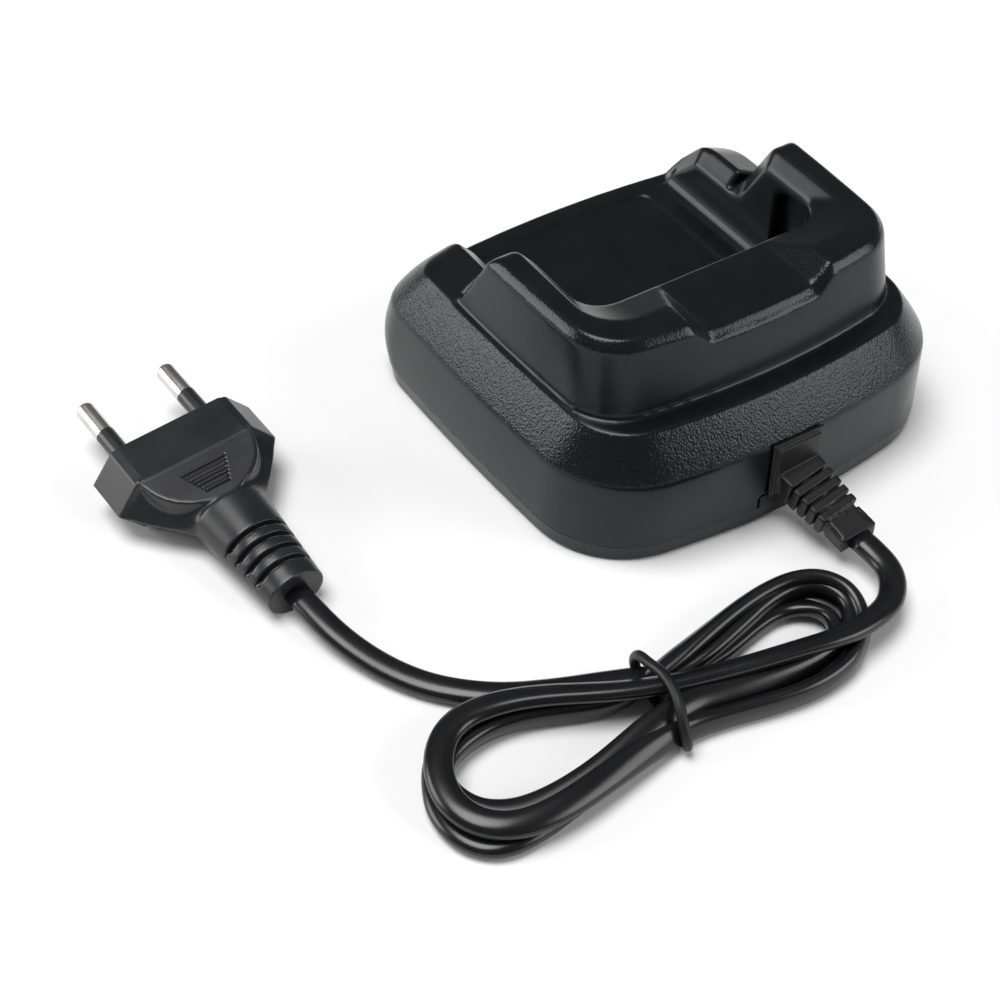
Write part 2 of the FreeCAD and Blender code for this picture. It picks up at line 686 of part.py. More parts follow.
def switching_transistor():
    z = BOARD_TOP
    x = 8.5
    y = 31.2
    body = box(x - 4.0, x + 4.0, y - 1.3, y + 1.3, z + 3.0, z + 14.0)
    hole = Part.makeCylinder(1.6, 8.0, Vec(x, y - 4.0, z + 11.0), Vec(0, 1, 0))
    legs = [box(x + s - 0.4, x + s + 0.4, y - 0.25, y + 0.25, z, z + 3.4) for s in (-2.3, 0.0, 2.3)]
    return body.cut(hole).fuse(legs).removeSplitter()


def interference_capacitor():
    z = BOARD_TOP
    x = -20.5
    y = 14.0
    disc = Part.makeCylinder(3.8, 2.6, Vec(x, y - 1.3, z + 4.4), Vec(0, 1, 0))
    legs = [box(x + s - 0.3, x + s + 0.3, y - 0.3, y + 0.3, z, z + 2.6) for s in (-2.5, 2.5)]
    return disc.fuse(legs).removeSplitter()


def chip_resistors():
    rows = [(18, -2), (18, 2), (14, -6), (4, -14)]
    spots = rows + [(-x, y) for x, y in rows] + [(0, -18)]
    top = BOARD_TOP + 0.5
    return [box(x - 1.0, x + 1.0, y - 0.6, y + 0.6, BOARD_TOP, top) for x, y in spots]


def status_led():
    z = LIGHT_Z
    forward = Vec(0, -1, 0)
    flange = Part.makeCylinder(1.9, 1.0, Vec(0, LED_Y, z), forward)
    body = Part.makeCylinder(1.5, 3.8, Vec(0, LED_Y, z), forward)
    dome = Part.makeSphere(1.5, Vec(0, LED_Y - 3.8, z))
    legs = []
    for s in (-1.0, 1.0):
        legs.append(box(s - 0.25, s + 0.25, LED_Y - 0.2, LED_Y + 2.4, z - 0.25, z + 0.25))
        legs.append(box(s - 0.25, s + 0.25, LED_Y + 1.9, LED_Y + 2.4, BOARD_TOP, z + 0.25))
    return body.fuse([dome, flange] + legs).removeSplitter()


def status_light_pipe():
    """Clear rod from the LED to the front face."""
    rear = Vec(0, 1, 0)
    inner = LED_Y - 4.2
    rod = Part.makeCylinder(LIGHT_R, 6.0, Vec(0, inner - 6.0, LIGHT_Z), rear)
    collar = Part.makeCylinder(LIGHT_R + 0.9, 1.0, Vec(0, inner - 2.4, LIGHT_Z), rear)
    cup = Part.makeSphere(1.75, Vec(0, LED_Y - 3.8, LIGHT_Z))
    return rod.fuse(collar).cut(cup).common(between(SKIRT_SECTIONS, 0.0, False)).removeSplitter()


def inner_lead(sign):
    """Insulated core from the cord's end to its solder hole."""
    x = sign * LEAD_X
    hole_y = BOARD_REAR - 1.8
    points = [
        Vec(x, BODY_REAR - RELIEF_DEPTH, LEAD_Z),
        Vec(x, hole_y, LEAD_Z),
        Vec(x, hole_y, BOARD_TOP),
    ]
    path = rounded(points, [0, 2 * LEAD_R, 0], False)
    start = Part.Wire(Part.makeCircle(LEAD_R, points[0], points[1] - points[0]))
    return path.makePipeShell([start], True, False)


# Charging contacts

PLATE_UNDER = FLOOR_Z - WALL - 1.6
COLLAR_TOP = PLATE_UNDER - CONTACT_END_GAP
COLLAR_FOOT = COLLAR_TOP - 1.4


def contact_carrier():
    """Block between the board and the pocket floor, bored for the two contacts."""
    top = FLOOR_Z - WALL - 0.05
    block = box(-12.0, 12.0, CONTACT_Y - 4.0, CONTACT_Y + 4.0, BOARD_TOP, top)
    for sign in (1, -1):
        x = sign * CONTACT_X
        block = block.cut(post(x, CONTACT_Y, 0.0, PLATE_UNDER, CONTACT_COLLAR_R + 0.08))
        block = block.cut(post(x, CONTACT_Y, 0.0, 30.0, CONTACT_TIP_R + FIT_GAP))
    return block


def contact_terminal(sign):
    return post(sign * CONTACT_X, CONTACT_Y, BOARD_TOP, SPRING_FOOT_Z, CONTACT_COLLAR_R)


def contact_pin(sign):
    """Plunger with a domed tip, a collar and a stem inside its spring."""
    x = sign * CONTACT_X
    tip = post(x, CONTACT_Y, COLLAR_TOP - 0.1, CONTACT_TOP_Z - CONTACT_TIP_R, CONTACT_TIP_R)
    dome = Part.makeSphere(CONTACT_TIP_R, Vec(x, CONTACT_Y, CONTACT_TOP_Z - CONTACT_TIP_R))
    collar = post(x, CONTACT_Y, COLLAR_FOOT, COLLAR_TOP, CONTACT_COLLAR_R)
    stem = post(x, CONTACT_Y, SPRING_FOOT_Z + CONTACT_TRAVEL + 0.2, COLLAR_FOOT + 0.2, 0.9)
    return tip.fuse([dome, collar, stem]).removeSplitter()


def contact_spring(sign):
    """Coil spring under the collar, with its wire clear of both ends."""
    low = SPRING_FOOT_Z + SPRING_WIRE_R + 0.02
    high = COLLAR_FOOT - SPRING_WIRE_R - 0.02
    corner_r = SPRING_MEAN_R / math.cos(math.pi / SPRING_SIDES)
    count = SPRING_TURNS * SPRING_SIDES
    points = []
    for i in range(count + 1):
        turn = 2 * math.pi * i / SPRING_SIDES
        x = sign * CONTACT_X + corner_r * math.cos(turn)
        y = CONTACT_Y + corner_r * math.sin(turn)
        points.append(Vec(x, y, low + (high - low) * i / count))
    path = rounded(points, bend_radii(points), False)
    ring = Part.Wire(Part.makeCircle(SPRING_WIRE_R, points[0], points[1] - points[0]))
    return path.makePipeShell([ring], True, False)


# Strain relief


def along(start, end, shape):
    """Turn a shape built along +Y from the origin so that it runs from start to end."""
    way = end - start
    turned = shape.copy()
    pitch = math.degrees(math.atan2(way.z, math.hypot(way.x, way.y)))
    yaw = -math.degrees(math.atan2(way.x, way.y))
    turned.rotate(Vec(), Vec(1, 0, 0), pitch)
    turned.rotate(Vec(), Vec(0, 0, 1), yaw)
    turned.translate(start)
    return turned


def soft_block(half_x, half_z, y0, y1, corner):
    points = [
        Vec(half_x, y0, half_z),
        Vec(half_x, y0, -half_z),
        Vec(-half_x, y0, -half_z),
        Vec(-half_x, y0, half_z),
    ]
    return Part.Face(rounded(points, [corner] * 4)).extrude(Vec(0, y1 - y0, 0))


def strain_relief():
    """Flanged grommet in the rear wall with a ribbed tail that bends with the cord."""
    y0 = BODY_REAR
    half = SLOT_HALF - 0.1
    plate = box(-RELIEF_HALF, RELIEF_HALF, y0 + 0.05, y0 + 1.1, RELIEF_LOW_Z, RELIEF_HIGH_Z)
    neck = box(-half, half, y0 - 2.9, y0 + 0.5, RELIEF_LOW_Z, SLOT_TOP_Z - 0.1)
    inner = box(-RELIEF_HALF, RELIEF_HALF, y0 - RELIEF_DEPTH, y0 - 2.6, RELIEF_LOW_Z, SLOT_TOP_Z - 0.3)
    length = (RELIEF_END - RELIEF_START).Length
    ribs = 5
    block = 6.6
    first = 1.2
    pitch = (length - block - first) / ribs
    core = soft_block(3.1, 2.4, -1.0, length - 1.0, 1.0)
    parts = [soft_block(4.3, 3.3, -0.6, first, 0.9)]
    for i in range(ribs):
        start = first + i * pitch + pitch * 0.36
        half_x = 4.25 - 0.08 * i
        half_z = 3.25 - 0.05 * i
        parts.append(soft_block(half_x, half_z, start, first + (i + 1) * pitch, 0.9))
    parts.append(soft_block(3.9, 3.0, length - block, length, 0.9))
    tail = core.fuse(parts)
    web = box(-0.9, 0.9, -0.5, length - block, -2.9, 2.9)
    tail = along(RELIEF_START, RELIEF_END, tail.fuse(web))
    return plate.fuse([neck, inner, tail]).removeSplitter()


# Cord


def cord_tube(name, points):
    radii = bend_radii(points)
    path = rounded(points, radii, False)
    start = Part.Wire(Part.makeCircle(CORD_R, points[0], points[1] - points[0]))
    tube = path.makePipeShell([start], True, False)
    expected = math.pi * CORD_R * CORD_R * path.Length
    print(name, "radii", [round(r, 1) for r in radii[1:-1]])
    print(name, f"length {path.Length:.1f}, volume {tube.Volume:.1f} against {expected:.1f}")
    return tube


CHARGER_END = [
    RELIEF_END,
    Vec(-3.4, 66.8, 4.3),
    Vec(-2.5, 71.4, 4.2),
    Vec(0.6, 75.3, 4.6),
    Vec(4.8, 78.2, 5.2),
    Vec(9.4, 80.0, 5.6),
]

HANK_OUTER = [
    (52.4, 65.4),
    (57.5, 63.4),
    (63.2, 60.6),
    (69.7, 57.6),
    (75.7, 55.2),
    (81.9, 54.4),
    (88.4, 56.4),
    (94.4, 61.2),
    (98.6, 67.4),
    (99.6, 74.4),
    (97.2, 80.8),
    (91.7, 84.7),
    (84.5, 84.8),
    (77.0, 83.6),
    (68.4, 82.0),
    (60.0, 80.4),
    (52.0, 79.8),
    (46.8, 81.0),
    (40.7, 83.2),
    (33.3, 85.1),
    (25.5, 85.9),
    (17.6, 85.1),
    (10.8, 82.2),
    (7.0, 77.4),
    (6.0, 70.8),
    (8.2, 65.0),
    (13.0, 61.5),
    (19.5, 60.8),
    (27.0, 62.4),
    (34.2, 64.8),
    (40.5, 66.4),
    (46.4, 66.8),
]

HANK_LEFT_HOLE = [
    (16.2, 74.0),
    (22.0, 76.8),
    (30.0, 75.4),
    (37.0, 72.4),
    (33.0, 67.4),
    (27.0, 64.8),
    (20.4, 65.6),
    (16.2, 69.0),
]

HANK_RIGHT_HOLE = [
    (60.0, 72.2),
    (66.4, 66.9),
    (73.0, 63.8),
    (80.3, 62.0),
    (87.2, 62.4),
    (92.2, 65.6),
    (93.4, 70.6),
    (90.4, 75.2),
    (84.6, 77.6),
    (77.0, 77.9),
    (68.5, 76.4),
]

PLUG_END = [
    Vec(72.8, 55.8, CORD_R),
    Vec(78.7, 51.6, CORD_R),
    Vec(84.2, 46.0, CORD_R),
    Vec(88.4, 39.0, CORD_R),
    Vec(91.4, 31.2, 2.8),
    Vec(93.4, 23.3, 4.0),
]

TIE_MIDDLE = Vec(50.6, 73.2, 0)
TIE_TURN = -9.0
TIE_HALF = 7.9


def cord_hank():
    """Outer shape of the tied loops: a flat ring with two eyes, grooved under the tie."""

    def loop(spots):
        points = [Vec(x, y, 0) for x, y in spots]
        ring = [points[-1]] + points + [points[0]]
        return Part.Face(rounded(points, bend_radii(ring)[1:-1]))

    plate = loop(HANK_OUTER).cut([loop(HANK_LEFT_HOLE), loop(HANK_RIGHT_HOLE)])
    slab = plate.extrude(Vec(0, 0, HANK_TOP_Z))
    groove = box(-TIE_R - FIT_GAP, TIE_R + FIT_GAP, -20.0, 20.0, -1.0, TIE_R * 2 + FIT_GAP)
    groove.rotate(Vec(), UP, -TIE_TURN)
    groove.translate(TIE_MIDDLE)
    return slab.cut([groove, tie_ring(TIE_R + 2 * FIT_GAP)])


def tie_ring(wire_r):
    """Ring round the waist of the hank."""
    high = HANK_TOP_Z + TIE_R
    points = [
        Vec(0, TIE_HALF, high),
        Vec(0, -TIE_HALF, high),
        Vec(0, -TIE_HALF, TIE_R),
        Vec(0, TIE_HALF, TIE_R),
    ]
    path = rounded(points, [1.4] * 4)
    first = path.Edges[-1]
    spot = first.valueAt(first.FirstParameter)
    way = first.tangentAt(first.FirstParameter)
    ring = Part.Wire(Part.makeCircle(wire_r, spot, way))
    tie = Part.Wire([path.Edges[-1]] + path.Edges[:-1]).makePipeShell([ring], True, False)
    tie.rotate(Vec(), UP, -TIE_TURN)
    tie.translate(TIE_MIDDLE)
    return tie


# Plug


def place_plug(shape):
    """From the plug's own frame, +Y towards the cord, to where it lies."""
    placed = shape.copy()
    placed.rotate(Vec(), Vec(0, 1, 0), PLUG_LEAN)
    placed.rotate(Vec(), Vec(1, 0, 0), -PLUG_PITCH)
    placed.rotate(Vec(), UP, PLUG_YAW)
    placed.translate(PLUG_FACE)
    return placed


def hexagon(y, half, half_top, height):
    points = [
        Vec(half, y, 0),
        Vec(half_top, y, height),
        Vec(-half_top, y, height),
        Vec(-half, y, 0),
        Vec(-half_top, y, -height),
        Vec(half_top, y, -height),
    ]
    return Part.makePolygon(points + points[:1])


def grip_pad():
    """D-shaped pads above and below, falling towards the neck."""
    front = PLUG_FACE_DEPTH - 2.0
    plan = [
        Vec(11.8, front, -8.0),
        Vec(9.8, PLUG_PAD_END, -8.0),
        Vec(-9.8, PLUG_PAD_END, -8.0),
        Vec(-11.8, front, -8.0),
    ]
    block = Part.Face(rounded(plan, [0, 8.0, 8.0, 0])).extrude(Vec(0, 0, 16.0))
    high = PLUG_HALF_HEIGHT - 0.1
    low = PLUG_PAD_LOW
    side = [
        Vec(-15.0, front, high),
        Vec(-15.0, PLUG_PAD_END, low),
        Vec(-15.0, PLUG_PAD_END, -low),
        Vec(-15.0, front, -high),
    ]
    wedge = Part.Face(rounded(side, [0] * 4)).extrude(Vec(30.0, 0, 0))
    return block.common(wedge)


def grip_lines():
    """Shallow lines across each pad."""
    lines = []
    fall = (PLUG_HALF_HEIGHT - 0.1 - PLUG_PAD_LOW) / (PLUG_PAD_END - PLUG_FACE_DEPTH + 2.0)
    for i in range(7):
        y0 = PLUG_FACE_DEPTH + 2.4 + i * 1.15
        half = 4.9 - i * 0.38
        top = PLUG_HALF_HEIGHT - 0.1 - fall * (y0 - PLUG_FACE_DEPTH + 2.0)
        lines.append(box(-half, half, y0, y0 + 0.5, top - GRIP_DEPTH, top * 2))
        lines.append(box(-half, half, y0, y0 + 0.5, -top * 2, -top + GRIP_DEPTH))
    return lines


def neck_slots():
    """Four slots above and four below, joined by a web on each side."""
    slots = []
    taper = (NECK_START_R - NECK_END_R) / (PLUG_NECK_END - PLUG_NECK_START)
    for i in range(4):
        y0 = PLUG_NECK_START + 9.5 + i * 3.1
        radius = NECK_START_R - (y0 - PLUG_NECK_START) * taper
        outer = Part.makeCylinder(9.0, 1.3, Vec(0, y0, 0), Vec(0, 1, 0))
        core = Part.makeCylinder(radius - 1.4, 1.3, Vec(0, y0, 0), Vec(0, 1, 0))
        web = box(-9.0, 9.0, y0 - 1.0, y0 + 3.0, -1.7, 1.7)
        slots.append(outer.cut([core, web]))
    return slots


def plug_body():
    """Flat two-pin plug: six-sided face block, grip pads, hollowed shoulders and slotted neck."""
    face = hexagon(0, PLUG_HALF, PLUG_HALF_TOP, PLUG_HALF_HEIGHT)
    end = hexagon(PLUG_FACE_DEPTH, PLUG_HALF, PLUG_HALF_TOP, PLUG_HALF_HEIGHT)
    middle = hexagon(PLUG_FACE_DEPTH + 7.0, 11.6, 8.4, 4.9)
    waist = hexagon(PLUG_NECK_START + 4.0, 6.4, 4.2, 4.6)
    block = Part.makeLoft([face, end], True, True)
    shoulders = Part.makeLoft([end, middle, waist], True, False)
    length = PLUG_NECK_END - PLUG_NECK_START
    neck = Part.makeCone(NECK_START_R, NECK_END_R, length, Vec(0, PLUG_NECK_START, 0), Vec(0, 1, 0))
    root = Part.makeSphere(NECK_START_R, Vec(0, PLUG_NECK_START, 0)).common(
        box(-9, 9, PLUG_FACE_DEPTH, PLUG_NECK_START, -PLUG_PAD_LOW, PLUG_PAD_LOW)
    )
    body = block.fuse([shoulders, grip_pad(), neck, root])
    roots = [
        Part.makeCylinder(PIN_CORE_R, PIN_ROOT, Vec(s * PIN_SPACING / 2, 0, 0), Vec(0, 1, 0))
        for s in (1, -1)
    ]
    return place_plug(body.cut(neck_slots() + grip_lines() + roots).removeSplitter())


def plug_pin(sign):
    """Nickelled pin: thin inside its flush sleeve, full size and domed at the bare end."""
    x = sign * PIN_SPACING / 2
    core = Part.makeCylinder(PIN_CORE_R, PIN_ROOT + PIN_SLEEVE, Vec(x, -PIN_SLEEVE, 0), Vec(0, 1, 0))
    bare = PIN_LENGTH - PIN_SLEEVE
    tip = Part.makeCylinder(PIN_R, bare, Vec(x, -PIN_LENGTH, 0), Vec(0, 1, 0))
    front = [e for e in tip.Edges if abs(e.CenterOfMass.y + PIN_LENGTH) < 1e-6]
    tip = tip.makeFillet(1.2, front[:1])
    return place_plug(core.fuse(tip).removeSplitter())


def plug_sleeve(sign):
    x = sign * PIN_SPACING / 2
    outer = Part.makeCylinder(PIN_R, PIN_SLEEVE, Vec(x, -PIN_SLEEVE, 0), Vec(0, 1, 0))
    inner = Part.makeCylinder(PIN_CORE_R, PIN_SLEEVE, Vec(x, -PIN_SLEEVE, 0), Vec(0, 1, 0))
    return place_plug(outer.cut(inner))


def plug_cord_end():
    """Where the cord enters the plug's neck."""
    spot = Part.Vertex(Vec(0, PLUG_NECK_END, 0))
    return place_plug(spot).Point


# Build

save("top_cover", top_cover())
save("bottom_cover", bottom_cover())
save("rubber_feet", *[post(x, y, 0.0, FOOT_LIFT * 2, FOOT_R) for x, y in FEET])
save("case_screws", *[screw_up(x, y, FOOT_LIFT, 10.0) for x, y in CASE_SCREWS])
save("circuit_board", circuit_board())
save("board_screws", *[screw_down(x, y, BOARD_TOP, 5.0) for x, y in BOARD_SCREWS])
save("transformer_core", transformer_core())
save("transformer_bobbin", transformer_bobbin())
save("transformer_winding", transformer_winding())
save("input_capacitor", round_capacitor(*INPUT_CAPACITOR))
save("output_capacitor", round_capacitor(*OUTPUT_CAPACITOR))
save("rectifier_diodes", *[axial_part(15.0 + 3.4 * i, 21.0, 1.3, 4.6) for i in range(4)])
save("fuse_resistor", axial_part(15.5, 29.6, 1.5, 4.0))
save("switching_transistor", switching_transistor())
save("interference_capacitor", interference_capacitor())
save("charge_controller", chip(0.0, -6.0, 5.0, 4.0, 1.6, 4))
save("chip_resistors", *chip_resistors())
save("status_led", status_led())
save("status_light_pipe", status_light_pipe())
save("mains_lead_live", inner_lead(1))
save("mains_lead_neutral", inner_lead(-1))
save("contact_carrier", contact_carrier())
save("contact_terminals", contact_terminal(1), contact_terminal(-1))
save("contact_pin_left", contact_pin(-1))
save("contact_pin_right", contact_pin(1))
save("contact_spring_left", contact_spring(-1))
save("contact_spring_right", contact_spring(1))
save("strain_relief", strain_relief())
save("cord_charger_end", cord_tube("cord_charger_end", CHARGER_END))
save("cord_hank", cord_hank())
save("cord_tie", tie_ring(TIE_R))
neck = plug_cord_end()
print("plug neck end", [round(v, 2) for v in neck])
save("cord_plug_end", cord_tube("cord_plug_end", PLUG_END + [neck]))
save("plug_body", plug_body())
save("plug_pins", plug_pin(1), plug_pin(-1))
save("plug_pin_sleeves", plug_sleeve(1), plug_sleeve(-1))
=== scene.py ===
"""Looks of a desktop two-way radio charger with its captive mains cord and flat plug."""

import math

import bmesh
import bpy
import numpy as np
from mathutils import Matrix, Vector


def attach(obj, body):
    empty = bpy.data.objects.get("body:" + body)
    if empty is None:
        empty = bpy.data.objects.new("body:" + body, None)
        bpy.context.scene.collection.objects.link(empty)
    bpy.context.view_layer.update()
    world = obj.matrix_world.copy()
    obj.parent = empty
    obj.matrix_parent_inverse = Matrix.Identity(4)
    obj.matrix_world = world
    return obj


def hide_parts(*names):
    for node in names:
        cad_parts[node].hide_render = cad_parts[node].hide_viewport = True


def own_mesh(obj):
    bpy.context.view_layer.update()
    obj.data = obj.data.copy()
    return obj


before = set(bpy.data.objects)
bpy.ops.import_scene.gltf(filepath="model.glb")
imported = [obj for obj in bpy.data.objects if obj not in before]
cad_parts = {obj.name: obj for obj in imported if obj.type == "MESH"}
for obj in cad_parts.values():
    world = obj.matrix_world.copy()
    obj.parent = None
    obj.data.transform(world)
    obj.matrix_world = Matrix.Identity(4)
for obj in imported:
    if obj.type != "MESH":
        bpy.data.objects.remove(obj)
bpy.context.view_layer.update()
MM = 0.001


def add_object(name, data):
    thing = bpy.data.objects.new(name, data)
    bpy.context.scene.collection.objects.link(thing)
    return thing


def bearing(azimuth, elevation):
    """Direction from the part to the camera or a lamp, with both angles in degrees."""
    a, e = math.radians(azimuth), math.radians(elevation)
    return Vector((math.sin(a) * math.cos(e), -math.cos(a) * math.cos(e), math.sin(e)))


def around(count):
    """Cosine and sine of evenly spaced directions."""
    angles = [math.radians(360 / count * i) for i in range(count)]
    return [(math.cos(angle), math.sin(angle)) for angle in angles]


def loft(rings, closed=False):
    """Corners and faces of a skin through rings of equally many points, capped unless closed."""
    count = len(rings[0])
    corners = [corner for row in rings for corner in row]
    faces = []
    for i in range(len(rings) if closed else len(rings) - 1):
        first = i * count
        second = (i + 1) % len(rings) * count
        for j in range(count):
            k = (j + 1) % count
            faces.append((first + j, first + k, second + k, second + j))
    if not closed:
        faces.append(tuple(reversed(range(count))))
        faces.append(tuple(range(len(corners) - count, len(corners))))
    return corners, faces


def smooth_piece(name, skin):
    corners, faces = skin
    mesh = bpy.data.meshes.new(name)
    mesh.from_pydata(corners, [], faces)
    mesh.polygons.foreach_set("use_smooth", [True] * len(faces))
    return add_object(name, mesh)


# Camera, angles in degrees

CAMERA_PLACE = Vector((204.69, 251.83, 284.66)) * MM
CAMERA_AZIMUTH = 146.636
CAMERA_ELEVATION = 44.662
CAMERA_ROLL = 0.587
CAMERA_LENS = 73.77
SENSOR_WIDTH = 36.0


def add_camera():
    back = bearing(CAMERA_AZIMUTH, CAMERA_ELEVATION)
    right = Vector((0, 0, 1)).cross(back).normalized()
    up = back.cross(right)
    roll = math.radians(CAMERA_ROLL)
    right_rolled = right * math.cos(roll) + up * math.sin(roll)
    up_rolled = up * math.cos(roll) - right * math.sin(roll)
    data = bpy.data.cameras.new("camera")
    data.lens = CAMERA_LENS
    data.sensor_width = SENSOR_WIDTH
    camera = add_object("camera", data)
    turn = Matrix((right_rolled, up_rolled, back)).transposed()
    camera.matrix_world = Matrix.Translation(CAMERA_PLACE) @ turn.to_4x4()
    bpy.context.scene.camera = camera


# Cord: across, along and height in millimetres, and the turn of its flat in degrees

FROM_CHARGER = [
    (-2.5, 61.4, 5.7, -6), (-3.2, 66.6, 5.1, -4), (-2.5, 71.3, 4.7, -2), (0.6, 75.3, 4.9, -6),
    (4.8, 78.2, 5.7, -14), (13.3, 79.9, 6.6, -24), (19.1, 79.5, 7.0, -30), (24.4, 78.4, 7.1, -34),
    (30.3, 77.2, 7.1, -36), (36.5, 75.8, 7.0, -38), (42.0, 74.3, 6.9, -38), (47.4, 72.7, 6.8, -36),
    (52.7, 71.0, 6.8, -34),
]
FIRST_FAR_LOOP = [
    (58.5, 68.5, 6.8, -30), (63.9, 65.5, 6.7, -26), (69.3, 62.5, 6.7, -22), (74.8, 60.0, 6.6, -16),
    (80.0, 58.6, 6.5, -6), (85.0, 58.3, 6.4, -4), (89.4, 60.0, 6.3, -2), (93.0, 63.5, 6.2, 0),
    (95.2, 68.0, 6.0, -4), (95.9, 72.8, 5.7, -8), (94.6, 77.5, 5.5, -12), (91.4, 80.9, 5.3, -16),
    (87.1, 82.7, 5.2, -20), (82.0, 83.2, 5.2, -24), (76.3, 82.8, 5.1, -28), (70.0, 81.9, 4.9, -32),
    (64.0, 80.9, 4.6, -40), (58.6, 80.1, 4.1, -50), (53.0, 79.6, 3.4, -65),
]
FIRST_NEAR_LOOP = [
    (48.3, 79.9, 2.9, -80), (43.1, 80.9, 2.7, -90), (37.9, 82.2, 2.7, -90), (32.8, 83.4, 2.7, -90),
    (27.1, 84.2, 2.7, -90), (21.4, 84.0, 2.7, -90), (16.3, 82.8, 2.9, -90), (12.1, 80.2, 3.2, -85),
    (8.9, 76.6, 3.9, -75), (7.4, 72.5, 4.8, -65), (8.0, 68.9, 5.6, -60), (10.8, 65.5, 6.2, -60),
    (15.2, 63.5, 6.3, -60), (20.7, 63.0, 6.2, -60), (27.0, 63.5, 6.0, -60), (33.8, 64.6, 5.6, -55),
    (39.3, 65.5, 5.0, -45), (44.9, 66.4, 4.2, -30),
]
SECOND_FAR_LOOP = [
    (50.3, 67.0, 3.0, -40), (55.3, 67.6, 2.5, -70), (59.7, 67.3, 2.5, -85), (63.6, 66.1, 2.6, -88),
    (67.6, 64.4, 2.6, -88), (71.7, 62.7, 2.6, -85), (75.7, 61.4, 2.6, -80), (80.0, 60.7, 2.6, -78),
    (84.5, 60.9, 2.6, -75), (88.6, 62.0, 2.6, -75), (92.2, 64.1, 2.5, -70), (94.0, 67.6, 2.4, -55),
    (93.5, 71.4, 2.3, -35), (91.7, 74.6, 2.2, -20), (88.7, 76.9, 2.2, -12), (85.2, 78.5, 2.4, -10),
    (80.7, 79.4, 2.8, -12), (75.5, 79.7, 3.4, -16), (69.8, 79.4, 4.1, -20), (64.2, 78.5, 4.8, -24),
    (58.5, 77.4, 5.3, -28),
]
SECOND_NEAR_LOOP = [
    (53.3, 76.7, 5.5, -30), (47.9, 76.3, 5.4, -34), (43.0, 77.3, 5.0, -40), (38.1, 78.5, 4.6, -48),
    (32.7, 79.5, 4.1, -58), (27.0, 80.0, 3.6, -70), (21.3, 79.8, 3.2, -80), (15.6, 78.6, 3.0, -85),
    (11.0, 76.0, 3.1, -85), (9.0, 72.0, 3.5, -82), (9.8, 68.1, 4.0, -78), (12.8, 65.2, 4.3, -75),
    (17.3, 64.1, 4.4, -75), (22.8, 64.5, 4.3, -72), (28.1, 65.8, 4.1, -68), (33.3, 66.9, 3.8, -60),
    (38.8, 67.7, 3.3, -45), (44.2, 67.7, 2.6, -30),
]
THIRD_FAR_LOOP = [
    (50.5, 67.7, 2.3, -55), (56.7, 66.4, 2.5, -80), (61.7, 64.2, 2.6, -88), (66.0, 62.0, 2.6, -88),
    (70.4, 59.8, 2.6, -85), (74.9, 58.1, 2.6, -80), (79.6, 57.2, 2.5, -70), (84.5, 57.5, 2.3, -50),
    (88.9, 59.2, 2.1, -25), (92.5, 62.1, 1.9, -5), (95.0, 66.3, 1.9, 0), (96.6, 70.2, 1.9, 0),
    (96.9, 74.4, 1.9, 0), (96.0, 78.2, 1.9, 0), (93.8, 81.2, 1.9, 0), (90.3, 82.6, 1.9, 0),
    (85.5, 82.6, 1.9, 0), (80.0, 81.8, 1.9, 0), (74.0, 80.8, 1.9, 0), (68.0, 79.7, 1.9, 0),
    (62.3, 78.4, 1.9, 0), (56.8, 77.2, 1.9, 0),
]
THIRD_NEAR_LOOP = [
    (51.6, 76.7, 1.9, -5), (47.0, 76.9, 1.9, -10), (42.5, 77.9, 1.9, -15), (37.5, 79.1, 2.0, -20),
    (32.2, 79.9, 2.1, -30), (26.9, 80.1, 2.2, -45), (22.0, 79.8, 2.4, -65), (17.5, 78.5, 2.5, -82),
    (14.2, 76.1, 2.5, -82), (12.8, 72.1, 2.3, -65), (14.2, 68.4, 2.0, -40), (17.3, 65.7, 1.9, -20),
    (21.7, 64.9, 1.9, -15), (26.4, 65.5, 1.9, -10), (31.4, 66.7, 1.9, -5), (36.5, 67.7, 1.9, 0),
    (42.1, 67.8, 1.9, 0),
]
TO_PLUG = [
    (47.4, 66.7, 1.9, 0), (52.4, 64.5, 1.9, 0), (57.4, 62.4, 1.9, 0), (65.0, 59.4, 1.9, 2),
    (72.8, 55.8, 2.0, 4), (78.7, 51.6, 2.0, 8), (84.2, 46.0, 2.0, 8), (88.4, 39.0, 2.2, 6),
    (91.4, 31.2, 2.8, 3), (93.4, 23.3, 4.0, 0), (94.1, 15.5, 4.8, 0),
]
ROUTE = (
    FROM_CHARGER + FIRST_FAR_LOOP + FIRST_NEAR_LOOP + SECOND_FAR_LOOP
    + SECOND_NEAR_LOOP + THIRD_FAR_LOOP + THIRD_NEAR_LOOP + TO_PLUG
)
CORD_WIDTH = 5.2 * MM
CORD_THICK = 3.2 * MM
FULLNESS = 2.3
SECTION_POINTS = 36
LINE_STEPS = 5


def nurbs_line(points, closed=False):
    """Points along the smooth spline that the control points pull into shape."""
    curve = bpy.data.curves.new("line", "CURVE")
    curve.dimensions = "3D"
    spline = curve.splines.new("NURBS")
    spline.points.add(len(points) - 1)
    for target, point in zip(spline.points, points):
        target.co = (point[0], point[1], point[2], 1.0)
    spline.order_u = 3
    spline.use_cyclic_u = closed
    spline.use_endpoint_u = not closed
    spline.resolution_u = LINE_STEPS
    holder = bpy.data.objects.new("line", curve)
    mesh = bpy.data.meshes.new_from_object(holder)
    line = [vertex.co.copy() for vertex in mesh.vertices]
    bpy.data.objects.remove(holder)
    bpy.data.curves.remove(curve)
    bpy.data.meshes.remove(mesh)
    return line


